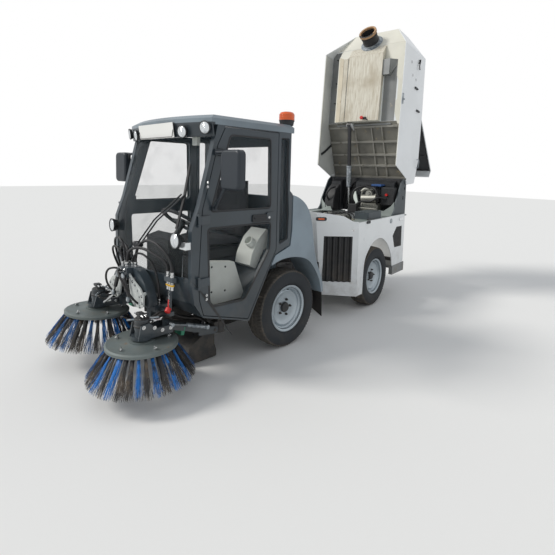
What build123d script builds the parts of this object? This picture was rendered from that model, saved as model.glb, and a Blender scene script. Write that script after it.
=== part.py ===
from build123d import *
from math import atan2, cos, degrees, radians, sin, tan
import os

os.makedirs("parts", exist_ok=True)

# Frame: millimetres, +Z up, floor at z = 0, +X to the machine's left, +Y rearwards.
# The front module lies along Y. The rear module is modelled straight and then steered.

# Driving dimensions
axle_y = -888.0              # front axle, from the origin
wheelbase = 1562.0           # front axle to rear axle, straight
pivot_back = 573.0           # front axle to the centre pivot
steer_rest = 6.59            # articulation as parked, degrees
body_width = 1200.0          # outside the doors, wings and rear side panels
track_half = 470.0           # centreline to the middle of a tyre
tyre_radius = 348.0
tyre_width = 205.0
bead_radius = 190.0
flange_radius = 208.0
rim_width = 172.0
seat_gap = 0.3               # between a piece and what holds it
door_gap = 6.0               # round the cab doors and the hopper door
rail_x = 230.0               # centreline to the middle of a chassis rail
rail_width = 60.0
rail_low = 405.0
rail_high = 500.0

pivot_y = axle_y + pivot_back
rear_axle_y = axle_y + wheelbase
half = body_width / 2

# Hopper: the pivot on the uprights and how far it is tipped as parked
tip_rest = 94.5
tip_back = 2400.0            # hopper pivot behind the front axle
tip_z = 1466.5
sill_z = 1055.0              # lower edge of the lowered hopper's side walls
hopper_half = 578.0
hopper_rear = 2232.0         # lower rear corner of the side walls, behind the front axle

steer = Pos(0, pivot_y, 0) * Rot(0, 0, steer_rest) * Pos(0, -pivot_y, 0)
tip = (
    steer
    * Pos(0, axle_y + tip_back, tip_z)
    * Rot(-tip_rest, 0, 0)
    * Pos(0, -axle_y - tip_back, -tip_z)
)


def behind(points):
    """Points given as (mm behind the front axle, height), in the frame."""
    return [(axle_y + y, z) for y, z in points]


def hopper(points):
    """Points given as (mm behind the side wall's rear corner, mm above its lower edge)."""
    return [(axle_y + hopper_rear + y, sill_z + z) for y, z in points]


def write(piece, node, place=Location()):
    """Puts a finished piece in its place and writes it under its node's name."""
    piece.part = piece.part.moved(place)
    piece.part.label = node
    export_step(piece.part, f"parts/{node}.step")


# Wheels
# name, side, distance behind the front axle, place
wheels = [
    ("front_left", 1, 0.0, Location()),
    ("front_right", -1, 0.0, Location()),
    ("rear_left", 1, wheelbase, steer),
    ("rear_right", -1, wheelbase, steer),
]
bead_half = rim_width / 2 - 8
tread_half = 84.0
crown = 8.0
hub_radius = 62.0
spindle_radius = 30.0
spindle_gap = 0.05
stud_circle = 70.0
spindle_reach = 485.0        # spindle end, from the centreline

for name, side, back, place in wheels:
    with BuildPart() as tyre:
        # distance from the tyre's middle plane, radius
        half_profile = [
            (bead_half - seat_gap, bead_radius + seat_gap), (bead_half - seat_gap, flange_radius + 4),
            (tyre_width / 2 - 4, 242), (tyre_width / 2, 275), (tyre_width / 2 - 4, 306),
            (tread_half + 6, tyre_radius - 20), (tread_half - 6, tyre_radius - crown), (36, tyre_radius),
        ]
        with BuildSketch(Plane.XZ):
            with BuildLine():
                Polyline(*half_profile, *[(-x, r) for x, r in reversed(half_profile)], close=True)
            make_face()
        revolve(axis=Axis.X)
    centre = Pos(side * track_half, axle_y + back, tyre_radius)
    write(tyre, f"tyre_{name}", place * centre)

    with BuildPart() as rim:
        with BuildSketch(Plane.XZ):
            with BuildLine():
                out = rim_width / 2
                Polyline(
                    (-out, bead_radius - 6), (-out, flange_radius), (-bead_half, flange_radius),
                    (-bead_half, bead_radius), (bead_half, bead_radius), (bead_half, flange_radius),
                    (out, flange_radius), (out, bead_radius - 6), (58, bead_radius - 6), (66, 158),
                    (60, 140), (34, 112), (34, hub_radius), (56, hub_radius - 6), (56, 0),
                    (36, 0), (36, spindle_radius + spindle_gap), (-60, spindle_radius + spindle_gap),
                    (-60, hub_radius), (26, hub_radius), (26, 116), (50, 146), (54, 160),
                    (48, bead_radius - 6), close=True,
                )
            make_face()
        revolve(axis=Axis.X)
        with BuildSketch(Plane.YZ.offset(34)):
            with PolarLocations(stud_circle + 20, 5):
                RegularPolygon(11, 6)
        extrude(amount=14)
        with BuildSketch(Plane.YZ.offset(20)):
            with PolarLocations(132, 5, start_angle=36):
                Circle(11)
        extrude(amount=60, mode=Mode.SUBTRACT)
    mirrored = Rot(0, 0, 0) if side > 0 else Rot(0, 0, 180)
    write(rim, f"rim_{name}", place * centre * mirrored)

# Axles
# node, distance behind the front axle, place
axles = [("front_axle", 0.0, Location()), ("rear_axle", wheelbase, steer)]
axle_tube = 42.0
flange_x = track_half - 60 - 1.0

for node, back, place in axles:
    with BuildPart() as axle:
        with BuildSketch(Plane.YZ):
            Circle(axle_tube)
        extrude(amount=flange_x - 16, both=True)
        with BuildSketch(Plane.YZ):
            Circle(spindle_radius)
        extrude(amount=spindle_reach, both=True)
        for end in (-1, 1):
            with BuildSketch(Plane.YZ.offset(end * (flange_x - 16))):
                Circle(80)
            extrude(amount=end * 16)
            with BuildSketch(Plane.XY.offset(axle_tube - 12)):
                with Locations((end * rail_x, 0)):
                    Rectangle(rail_width, 90)
            extrude(amount=rail_low - tyre_radius - axle_tube + 12 - seat_gap)
    write(axle, node, place * Pos(0, axle_y + back, tyre_radius))

# Front chassis
fork_low = 330.0
fork_high = 570.0
fork_plate = 25.0
fork_boss = 70.0
pin_radius = 30.0
front_end = -1020.0
arm_pivot_x = 385.0
arm_pivot_y = -640.0
arm_pivot_z = 300.0
arm_pin = 18.0
mouth_pivot_y = -565.0
mouth_pivot_z = 205.0

with BuildPart() as front_chassis:
    with BuildSketch(Plane.XY.offset(rail_low)):
        with Locations((-rail_x, axle_y - 285), (rail_x, axle_y - 285)):
            Rectangle(rail_width, 1430)
    extrude(amount=rail_high - rail_low)
    # across: y centre, half width, low, high
    for y, wide, low, high in (
        (-980, rail_x + 30, rail_low, rail_high),
        (-640, rail_x, rail_low + 10, rail_high - 10),
        (412, rail_x + 30, fork_low, fork_high),
    ):
        with BuildSketch(Plane.XY.offset(low)):
            with Locations((0, axle_y + y)):
                Rectangle(2 * wide, 40)
        extrude(amount=high - low)
    # Fork of the centre pivot
    for low in (fork_low, fork_high - fork_plate):
        with BuildSketch(Plane.XY.offset(low)):
            with BuildLine():
                Polyline(
                    (-200, axle_y + 400), (-fork_boss, pivot_y), (fork_boss, pivot_y),
                    (200, axle_y + 400), close=True,
                )
            make_face()
            with Locations((0, pivot_y)):
                Circle(fork_boss)
                Circle(pin_radius + spindle_gap, mode=Mode.SUBTRACT)
        extrude(amount=fork_plate)
    # Hangers of the suction mouth
    for side in (-1, 1):
        with BuildSketch(Plane.YZ.offset(side * 170 - 6)):
            with BuildLine():
                Polyline(
                    *behind([
                        (mouth_pivot_y - 30, mouth_pivot_z + 10), (mouth_pivot_y, mouth_pivot_z - 25),
                        (mouth_pivot_y + 30, mouth_pivot_z + 10), (-610, rail_low + 30),
                        (-650, rail_low + 30),
                    ]), close=True,
                )
            make_face()
        extrude(amount=12)
        with BuildSketch(Plane.YZ.offset(side * 170 - 6)):
            with Locations((axle_y + mouth_pivot_y, mouth_pivot_z)):
                Circle(10 + spindle_gap)
        extrude(amount=12, mode=Mode.SUBTRACT)
    # Towing eye under the front beam
    with BuildSketch(Plane.XY.offset(rail_low + 20)):
        with Locations((0, axle_y - 1025)):
            SlotOverall(120, 80, rotation=90)
            with Locations((0, -22)):
                Circle(17.5, mode=Mode.SUBTRACT)
    extrude(amount=25)
write(front_chassis, "front_chassis")

# Brackets of the brush arms under the rails, one each side
with BuildPart() as arm_brackets:
    for side in (-1, 1):
        with BuildSketch(Plane.XY.offset(arm_pivot_z + 62)):
            with Locations((side * (rail_x + arm_pivot_x) / 2, axle_y + arm_pivot_y)):
                Rectangle(arm_pivot_x - rail_x + 70, 76)
        extrude(amount=14)
        with BuildSketch(Plane.XY.offset(arm_pivot_z + 70)):
            with Locations((side * rail_x, axle_y + arm_pivot_y)):
                Rectangle(rail_width, 76)
        extrude(amount=rail_low - seat_gap - arm_pivot_z - 70)
        with BuildSketch(Plane.XY.offset(arm_pivot_z - 40)):
            with Locations((side * arm_pivot_x, axle_y + arm_pivot_y)):
                Circle(arm_pin)
        extrude(amount=110)
write(arm_brackets, "arm_brackets")

# Door hinges, on the front pillars
hinge_x = half + 14.0
hinge_y = -996.0
hinge_pin = 5.0
hinge_length = 60.0
hinge_heights = (735.0, 1180.0)

# Cab shell: outline at the sides, as (behind the front axle, height)
pillar = 45.0
wall = 6.0
cab_side = [
    (-945, 500), (-1024, 610), (-1048, 760), (-1050, 1140), (-986, 1316), (-896, 1654),
    (-838, 1885), (-68, 1885), (-68, 1400), (-34, 1372), (-42, 1063), (-60, 935), (-235, 872), (-505, 372),
]
door_outline = [
    (-766, 1872), (-832, 1744), (-919, 1422), (-960, 1282), (-987, 785), (-979, 638),
    (-943, 520), (-519, 395), (-222, 917), (-221, 1872),
]
upper_glass = [(-723, 1822), (-305, 1822), (-292, 1264), (-895, 1264)]
lower_glass = [(-918, 1149), (-285, 1149), (-292, 923), (-554, 552), (-864, 562), (-898, 607)]
quarter_glass = [(-188, 1838), (-188, 950), (-82, 990), (-76, 1200), (-90, 1390), (-90, 1838)]
bulge = 92.0
glass_wall = 6.0
rear_glass = (860.0, 430.0, 1560.0)   # width, height, centre height
floor_z = rail_high + seat_gap


def bowed(edge, depth, width, thick):
    """A band across the machine, bowed forwards by depth, its front at edge on the sides."""
    with BuildSketch(Plane.XY) as band:
        with BuildLine():
            front = ThreePointArc(
                (-width, axle_y + edge), (0, axle_y + edge - depth), (width, axle_y + edge)
            )
            Line(front @ 1, (width, axle_y + edge + thick))
            back = ThreePointArc(
                (width, axle_y + edge + thick),
                (0, axle_y + edge - depth + thick),
                (-width, axle_y + edge + thick),
            )
            Line(back @ 1, front @ 0)
        make_face()
    return band.sketch.face()


def shell_between(heights, width, thick):
    """A curved sheet lofted through bowed bands: (height, front edge, bow)."""
    faces = [bowed(edge, depth, width, thick).moved(Pos(0, 0, z)) for z, edge, depth in heights]
    with BuildPart() as sheet:
        for face_pair in zip(faces, faces[1:]):
            loft(face_pair, ruled=True)
    return sheet.part


windscreen_half = half - pillar - 2
cowl_top = 792.0
header_low = 1800.0
cowl = shell_between(
    [(502, -945, 36), (610, -1018, 58), (cowl_top, -1044, bulge)], half - pillar + 1, 22
)
header = shell_between([(header_low, -858, bulge), (1884, -836, bulge)], half - pillar + 1, 22)

with BuildPart() as cab_frame:
    for side in (-1, 1):
        with BuildSketch(Plane.YZ.offset(side * half)):
            with BuildLine():
                Polyline(*behind(cab_side), close=True)
            make_face()
            with BuildSketch(mode=Mode.PRIVATE) as doorway:
                with BuildLine():
                    Polyline(*behind(door_outline), close=True)
                make_face()
                offset(amount=door_gap, kind=Kind.INTERSECTION)
            add(doorway.sketch, mode=Mode.SUBTRACT)
            with BuildSketch(mode=Mode.PRIVATE) as quarter:
                with BuildLine():
                    Polyline(*behind(quarter_glass), close=True)
                make_face()
                fillet(quarter.vertices(), 14)
            add(quarter.sketch, mode=Mode.SUBTRACT)
        extrude(amount=-side * pillar)
    # Rear wall with its window, and the floor
    with BuildSketch(Plane.XZ.offset(-(axle_y - 108))):
        with Locations((0, (1885 + 934) / 2)):
            Rectangle(2 * (half - pillar) + 2, 1885 - 934)
        with Locations((0, rear_glass[2])):
            RectangleRounded(rear_glass[0], rear_glass[1], 40, mode=Mode.SUBTRACT)
    extrude(amount=-40)
    with BuildSketch(Plane.YZ):
        with BuildLine():
            Polyline(
                *behind([
                    (-950, floor_z), (-480, floor_z), (-262, 880), (-90, 932), (-90, 952),
                    (-272, 902), (-492, floor_z + 20), (-950, floor_z + 20),
                ]), close=True,
            )
        make_face()
    extrude(amount=half - pillar + 1, both=True)
    add(cowl)
    add(header)
    # Lugs and pins of the door hinges
    for side in (-1, 1):
        for z in hinge_heights:
            with BuildSketch(Plane.XY.offset(z - 16)):
                with Locations((side * hinge_x, axle_y + hinge_y)):
                    Circle(hinge_pin)
            extrude(amount=hinge_length + 32)
            for low in (z - 16, z + hinge_length + 0.5):
                with BuildSketch(Plane.XY.offset(low)):
                    with Locations((side * (half + 10), axle_y + hinge_y - 4)):
                        Rectangle(28, 18)
                extrude(amount=15.5)
write(cab_frame, "cab_frame")

with BuildPart() as cab_glass:
    add(shell_between(
        [
            (cowl_top + seat_gap, -1046, bulge), (1140, -1050, bulge), (1316, -988, bulge),
            (1654, -898, bulge), (header_low - seat_gap, -860, bulge),
        ],
        windscreen_half, glass_wall,
    ))
    for side in (-1, 1):
        with BuildSketch(Plane.YZ.offset(side * (half - 12))) as pane:
            with BuildLine():
                Polyline(*behind(quarter_glass), close=True)
            make_face()
            fillet(pane.vertices(), 14)
            offset(amount=-seat_gap)
        extrude(amount=-side * glass_wall)
    with BuildSketch(Plane.XZ.offset(-(axle_y - 91))):
        with Locations((0, rear_glass[2])):
            RectangleRounded(rear_glass[0] - 2 * seat_gap, rear_glass[1] - 2 * seat_gap, 40)
    extrude(amount=-glass_wall)
write(cab_glass, "cab_glass")

# Roof with its visor
roof_low = 1885.3
roof_high = 1955.0
visor_low = 1800.0
visor_edge = -876.0          # its lower edge at the sides, behind the front axle
visor_lean = 14.0            # how far its top stands in front of that
visor_bow = 102.0


def roof_plan(z, front, rear, width):
    """The roof's outline at height z: bowed at the front, straight at the sides and back."""
    with BuildSketch(Plane.XY) as plan:
        with BuildLine():
            bow = ThreePointArc(
                (-width, axle_y + front), (0, axle_y + front - visor_bow), (width, axle_y + front)
            )
            Polyline(bow @ 1, (width, axle_y + rear), (-width, axle_y + rear), bow @ 0)
        make_face()
    return plan.sketch.face().moved(Pos(0, 0, z))


roof_sections = [
    roof_plan(roof_low, visor_edge - visor_lean, -36, half),
    roof_plan(roof_high - 26, visor_edge - visor_lean, -36, half),
    roof_plan(roof_high, visor_edge + 24, -48, half - 34),
]
with BuildPart() as cab_roof:
    for pair in zip(roof_sections, roof_sections[1:]):
        loft(pair, ruled=True)
    add(shell_between(
        [(visor_low, visor_edge, visor_bow), (roof_low + 4, visor_edge - visor_lean, visor_bow)],
        half, 12,
    ))
write(cab_roof, "cab_roof")

# Doors: frame, two panes and the mirror each
door_wall = 38.0
for side, name in ((1, "left"), (-1, "right")):
    with BuildPart() as door:
        with BuildSketch(Plane.YZ.offset(side * half)) as frame:
            with BuildLine():
                Polyline(*behind(door_outline), close=True)
            make_face()
        extrude(amount=-side * door_wall)
        for pane_points, corner in ((upper_glass, 34), (lower_glass, 34)):
            with BuildSketch(Plane.YZ.offset(side * half)) as pane:
                with BuildLine():
                    Polyline(*behind(pane_points), close=True)
                make_face()
                fillet(pane.vertices(), corner)
            extrude(amount=-side * door_wall, mode=Mode.SUBTRACT)
        # Hinge barrels on the outer front edge, and the handle
        for z in hinge_heights:
            with BuildSketch(Plane.XY.offset(z)):
                with BuildLine():
                    Polyline(
                        (side * (half - 4), axle_y - 955), (side * (half - 4), axle_y - 900),
                        (side * (half + 8), axle_y - 900), (side * (hinge_x + 9), axle_y - 980),
                        (side * (hinge_x + 9), axle_y + hinge_y),
                        (side * (hinge_x - 9), axle_y + hinge_y), (side * (hinge_x - 9), axle_y - 970),
                        close=True,
                    )
                make_face()
                with Locations((side * hinge_x, axle_y + hinge_y)):
                    Circle(10)
                    Circle(hinge_pin + spindle_gap, mode=Mode.SUBTRACT)
            extrude(amount=hinge_length)
        with BuildSketch(Plane.YZ.offset(side * half)):
            with Locations((axle_y - 300, 1205)):
                RectangleRounded(90, 55, 12)
        extrude(amount=side * 14)
    write(door, f"door_{name}")

    with BuildPart() as door_glass:
        for pane_points in (upper_glass, lower_glass):
            with BuildSketch(Plane.YZ.offset(side * (half - 12))) as pane:
                with BuildLine():
                    Polyline(*behind(pane_points), close=True)
                make_face()
                fillet(pane.vertices(), 34)
                offset(amount=-seat_gap)
            extrude(amount=-side * glass_wall)
    write(door_glass, f"door_glass_{name}")

    with BuildPart() as mirror:
        with BuildSketch(Plane.XZ.offset(-(axle_y - 905))) as head:
            with Locations((side * 815, 1566)):
                RectangleRounded(200, 272, 40)
        extrude(amount=-60)
        fillet(mirror.faces().sort_by(Axis.Y)[0].edges(), 20)
        with BuildSketch(Plane.YZ.offset(side * (half + seat_gap))):
            with Locations((axle_y - 815, 1690)):
                Rectangle(110, 44)
        extrude(amount=side * 26)
        with BuildSketch(Plane.YZ.offset(side * (half + 20))):
            with Locations((axle_y - 862, 1688)):
                Circle(11)
        extrude(amount=side * 110)
        with BuildSketch(Plane.YZ.offset(side * (half + seat_gap))):
            with Locations((axle_y - 872, 1290)):
                Rectangle(40, 30)
        extrude(amount=side * 22)
        with BuildSketch(Plane.XZ.offset(-(axle_y - 872 - 7))):
            with BuildLine():
                Polyline(
                    (side * (half + 8), 1284), (side * (half + 22), 1280),
                    (side * 745, 1450), (side * 731, 1456), close=True,
                )
            make_face()
        extrude(amount=-14)
    write(mirror, f"mirror_{name}")

# Cab fittings: seat, dashboard with the steering wheel
with BuildPart() as seat:
    with BuildSketch(Plane.YZ):
        with BuildLine():
            Polyline(
                *behind([
                    (-690, 900), (-670, 985), (-290, 965), (-235, 1490), (-175, 1490), (-195, 965),
                    (-290, 915),
                ]), close=True,
            )
        make_face()
    extrude(amount=235, both=True)
    with BuildSketch(Plane.YZ):
        with BuildLine():
            Polyline(
                *behind([
                    (-640, floor_z + 20 + seat_gap), (-640, 905), (-505, 905),
                    (-505, floor_z + 20 + seat_gap),
                ]), close=True,
            )
        make_face()
    extrude(amount=150, both=True)
write(seat, "seat")

wheel_tilt = 35.0
with BuildPart() as dashboard:
    with BuildSketch(Plane.YZ):
        with BuildLine():
            Polyline(
                *behind([
                    (-925, floor_z + 20 + seat_gap), (-975, 700), (-975, 1010), (-870, 1040),
                    (-810, 980), (-850, 900), (-860, floor_z + 20 + seat_gap),
                ]), close=True,
            )
        make_face()
    extrude(amount=170, both=True)
    wheel_plane = Plane(
        origin=(0, axle_y - 730, 1120), x_dir=(1, 0, 0),
        z_dir=(0, sin(radians(wheel_tilt)), cos(radians(wheel_tilt))),
    )
    with BuildSketch(wheel_plane.offset(-170)):
        Circle(24)
    extrude(amount=175)
    with BuildSketch(wheel_plane.offset(-8)):
        Circle(192)
        Circle(164, mode=Mode.SUBTRACT)
        Rectangle(340, 36)
        Circle(50)
    extrude(amount=16)
write(dashboard, "dashboard")

# Front wings: tall shrouds behind the doors, open to the wheel
wing_in = 318.0
with BuildPart() as wings:
    for side in (-1, 1):
        with BuildPart(mode=Mode.PRIVATE) as wing:
            with BuildSketch(Plane.YZ.offset(side * half)) as shroud:
                with BuildLine():
                    rear_edge = Spline(
                        *behind([
                            (432, 430), (412, 546), (326, 732), (268, 944), (224, 1150), (150, 1272),
                            (60, 1334), (-24, 1362),
                        ])
                    )
                    Polyline(
                        rear_edge @ 1,
                        *behind([(-24, 1060), (-44, 925), (-224, 862), (-262, 800), (-262, 430)]),
                        rear_edge @ 0,
                    )
                make_face()
            extrude(amount=-side * (half - wing_in))
            with BuildSketch(Plane.YZ.offset(side * (half - wall))):
                add(shroud.sketch.moved(Pos(-side * wall, 0, 0)))
                offset(amount=-wall)
            extrude(amount=-side * (half - wing_in + 10), mode=Mode.SUBTRACT)
            with BuildSketch(Plane.YZ.offset(side * (half + 1))):
                with BuildLine():
                    arch = Spline(
                        *behind([
                            (-270, 780), (-108, 822), (46, 815), (198, 767), (310, 655), (372, 549),
                            (404, 420),
                        ])
                    )
                    Polyline(arch @ 1, *behind([(-300, 420)]), arch @ 0)
                make_face()
            extrude(amount=-side * (half - wing_in + 12), mode=Mode.SUBTRACT)
        add(wing.part)
    # Tank between the wings, standing on the rails
    with BuildSketch(Plane.YZ):
        with BuildLine():
            Polyline(
                *behind([(-12, 1290), (60, 1290), (140, 1230), (165, 1000), (165, 830), (-12, 830)]),
                close=True,
            )
        make_face()
    extrude(amount=wing_in + 2, both=True)
    with BuildSketch(Plane.XY.offset(rail_high + seat_gap)):
        with Locations((-rail_x, axle_y + 70), (rail_x, axle_y + 70)):
            Rectangle(50, 120)
    extrude(amount=840 - rail_high)
write(wings, "front_wings")

# Lamps, beacon, wiper and plate


def visor_front(x, z):
    """Distance of the visor's face behind the front axle, at x and height z."""
    edge = visor_edge - visor_lean * (z - visor_low) / (roof_low + 4 - visor_low)
    return edge - visor_bow * (1 - (x / half) ** 2)


with BuildPart() as front_lamps:
    for side in (-1, 1):
        with BuildSketch(Plane.XZ.offset(-(axle_y - 1122))):
            with Locations((side * 499, 1068)):
                Circle(52)
        extrude(amount=-34, taper=18)
        for x_in, y_in in ((520, -1084), (565, -1050)):
            with BuildSketch(Plane.XY.offset(1010)):
                with Locations((side * (x_in + 592) / 2, axle_y + (y_in - 1096) / 2)):
                    Rectangle(592 - x_in, y_in + 1096)
            extrude(amount=50)
        for x, z in ((side * 348, 1839), (side * 555, 1862)):
            facing = Vector(2 * visor_bow * x / half**2, -1, -0.157).normalized()
            lamp_base = Vector(x, axle_y + visor_front(x, z), z)
            with BuildSketch(Plane(origin=lamp_base + facing * 1.5, x_dir=(0, 0, 1), z_dir=facing)):
                Circle(36)
            extrude(amount=24)
write(front_lamps, "front_lamps")

beacon_base = 62.0
with BuildPart() as beacon:
    with BuildSketch(Plane.XZ):
        with BuildLine():
            Polyline(
                (0, 0), (beacon_base - 6, 0), (beacon_base, 36), (beacon_base + 4, 38),
                (beacon_base + 4, 92), (beacon_base - 6, 108), (beacon_base - 22, 114), (0, 114),
                close=True,
            )
        make_face()
    revolve(axis=Axis.Z)
write(beacon, "beacon", Pos(512, axle_y - 40, roof_high + seat_gap))

plate_width, plate_height = 520.0, 111.0
plate_middle = 1852.0
plate_lean = degrees(atan2(visor_lean, roof_low + 4 - visor_low))
with BuildPart() as number_plate:
    with BuildSketch(Plane.XZ):
        RectangleRounded(plate_width, plate_height, 8)
    extrude(amount=4)
plate_front = Pos(0, axle_y + visor_front(0, plate_middle) - 0.9, plate_middle)
write(number_plate, "number_plate", plate_front * Rot(plate_lean, 0, 0))


def bar(start, end, radius):
    """A round bar between two points."""
    along = Vector(*end) - Vector(*start)
    with BuildPart() as round_bar:
        with BuildSketch(Plane(origin=start, z_dir=along)):
            Circle(radius)
        extrude(amount=along.length)
    return round_bar.part


with BuildPart() as wiper:
    for shift in (0, 44):
        elbow = (250 + shift, axle_y - 1140, 1190)
        add(bar((30 + shift, axle_y - 1160, 985), elbow, 6))
        add(bar(elbow, (438 + shift, axle_y - 1030, 1385), 6))
    add(bar((450, axle_y - 962, 1600), (470, axle_y - 1022, 1370), 8))
    add(bar((470, axle_y - 1022, 1370), (480, axle_y - 1092, 1150), 8))
    for x in (30, 74):
        with BuildSketch(Plane.XZ.offset(-(axle_y - 1172))):
            with Locations((x, 985)):
                Circle(20)
        extrude(amount=-28)
write(wiper, "wiper")

# Front carrier: a box across the rails, a hub on two curved arms, two pale plates
carrier_y = -1240.0
hub_low = 735.0
hub_high = 812.0
hub_half = 62.0
box_low = 520.0
carrier_foot = 448.0
box_top = 568.0
coupler_x = 439.0
coupler_low = 765.0
coupler_high = 800.0
with BuildPart() as carrier_frame:
    with BuildSketch(Plane.XY.offset(box_low)):
        with Locations((0, axle_y - 1115)):
            Rectangle(650, 120)
    extrude(amount=box_top - box_low)
    with BuildSketch(Plane.XY.offset(carrier_foot)):
        with Locations((-rail_x, axle_y - 1087.8), (rail_x, axle_y - 1087.8)):
            Rectangle(rail_width, 175)
    extrude(amount=box_low + 1 - carrier_foot)
    for side in (-1, 1):
        with BuildSketch(Plane.XZ.offset(-(axle_y - 1148))):
            with BuildLine():
                outer = ThreePointArc((side * 312, 560), (side * 262, 700), (side * 60, hub_high))
                inner = ThreePointArc((side * 40, 745), (side * 190, 660), (side * 236, 560))
                Line(outer @ 1, inner @ 0)
                Line(inner @ 1, outer @ 0)
            make_face()
        extrude(amount=66)
    with BuildSketch(Plane.XY.offset(hub_low)):
        with Locations((0, axle_y - 1205)):
            Rectangle(2 * hub_half, 114)
    extrude(amount=hub_high - hub_low)
    for x in (-45, 45):
        with BuildSketch(Plane.XZ.offset(-(axle_y - 1262))):
            with Locations((x, 752)):
                Circle(8)
        extrude(amount=32)
    # Rail of the hose couplers
    with BuildSketch(Plane.XY.offset(520)):
        with Locations((390, axle_y - 1120)):
            Rectangle(150, 34)
    extrude(amount=30)
    with BuildSketch(Plane.XY.offset(540)):
        with Locations((coupler_x, axle_y - 1120)):
            Rectangle(24, 14)
    extrude(amount=coupler_low - 530)
    with BuildSketch(Plane.XY.offset(coupler_low)):
        with Locations((coupler_x, axle_y - 1120)):
            Rectangle(110, 34)
    extrude(amount=coupler_high - coupler_low)
write(carrier_frame, "carrier_frame")

pin_at = [(125.0, 592.0)]
with BuildPart() as carrier_plates:
    for side in (-1, 1):
        with BuildSketch(Plane.XZ.offset(-(axle_y + carrier_y + 6))):
            with BuildLine():
                Polyline(
                    (side * (hub_half + seat_gap), 770), (side * 105, 742), (side * 232, 690),
                    (side * 284, 640), (side * 282, 568), (side * 226, 540), (side * 150, 540),
                    (side * 100, 575), (side * (hub_half + seat_gap), 690), close=True,
                )
            make_face()
            with Locations((side * 197, 668), (side * 225, 625)):
                Circle(9, mode=Mode.SUBTRACT)
        extrude(amount=12)
        with BuildSketch(Plane.XZ.offset(-(axle_y + carrier_y))):
            with Locations((side * pin_at[0][0], pin_at[0][1])):
                Circle(7)
        extrude(amount=55)
        with BuildSketch(Plane.XZ.offset(-(axle_y - 1214 - seat_gap))):
            with Locations((side * 255, 650)):
                Circle(14)
        extrude(amount=26)
write(carrier_plates, "carrier_plates")

ram_y = axle_y - 1279.0
with BuildPart() as carrier_cylinders:
    for side in (-1, 1):
        top = Vector(side * 45, ram_y, 752)
        low = Vector(side * pin_at[0][0], ram_y, pin_at[0][1])
        along = (low - top).normalized()
        with BuildSketch(Plane(origin=top + along * 12, z_dir=along)):
            Circle(15)
        extrude(amount=105)
        with BuildSketch(Plane(origin=low - along * 70, z_dir=along)):
            Circle(6.5)
        extrude(amount=60)
        with BuildSketch(Plane.XZ.offset(-(ram_y - 9))):
            with Locations((side * 45, 752), (side * pin_at[0][0], pin_at[0][1])):
                Circle(15)
        extrude(amount=-18)
        with BuildSketch(Plane.XZ.offset(-(ram_y - 20))):
            with Locations((side * 45, 752)):
                Circle(8 + spindle_gap)
            with Locations((side * pin_at[0][0], pin_at[0][1])):
                Circle(7 + spindle_gap)
        extrude(amount=-40, mode=Mode.SUBTRACT)
write(carrier_cylinders, "carrier_cylinders")

# Hydraulic hoses, from the hub to the couplers and to the box
hose_radius = 11.0
# name, points as (x, behind the front axle, height)
hoses = [
    ("hose_outer", [
        (45, -1185, hub_high + seat_gap), (45, -1185, 925), (145, -1182, 1025), (290, -1175, 1045),
        (410, -1150, 985), (coupler_x + 28, -1120, 900), (coupler_x + 28, -1120, coupler_high + seat_gap),
    ]),
    ("hose_inner", [
        (0, -1230, hub_high + seat_gap), (0, -1230, 900), (70, -1228, 965), (205, -1205, 985),
        (335, -1160, 935), (coupler_x - 28, -1120, 895), (coupler_x - 28, -1120, coupler_high + seat_gap),
    ]),
    ("hose_right", [
        (-45, -1190, hub_high + seat_gap), (-45, -1190, 905), (-130, -1185, 970), (-235, -1165, 930),
        (-290, -1136, 830), (-285, -1110, 690), (-285, -1110, box_top + seat_gap),
    ]),
]
for name, points in hoses:
    route = [Vector(x, axle_y + y, z) for x, y, z in points]
    runs = [b - a for a, b in zip(route, route[1:])]
    bends = []
    for a, b in zip(runs, runs[1:]):
        half_turn = radians(a.get_angle(b)) / 2
        bends.append(0.45 * min(a.length, b.length) / tan(half_turn))
    print(name, [round(run.length) for run in runs], [round(bend) for bend in bends])
    with BuildPart() as hose:
        with BuildLine() as centre_line:
            FilletPolyline(*route, radius=bends)
        with BuildSketch(Plane(origin=centre_line.line @ 0, z_dir=centre_line.line % 0)):
            Circle(hose_radius)
        sweep()
    write(hose, name)

# Brushes on their arms
# name, side, brush centre x, brush centre behind the front axle, degrees that the arm is parked up
brushes = [("left", 1, 400.0, -1317.0, 0.0), ("right", -1, -345.0, -1325.0, 4.0)]
plate_z = 362.0
plate_radius = 245.0
tip_radius = 366.0
bristle_low = 132.0
motor_radius = 72.0
shaft_radius = 20.0
ear_y = arm_pivot_y - 72.0

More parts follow.
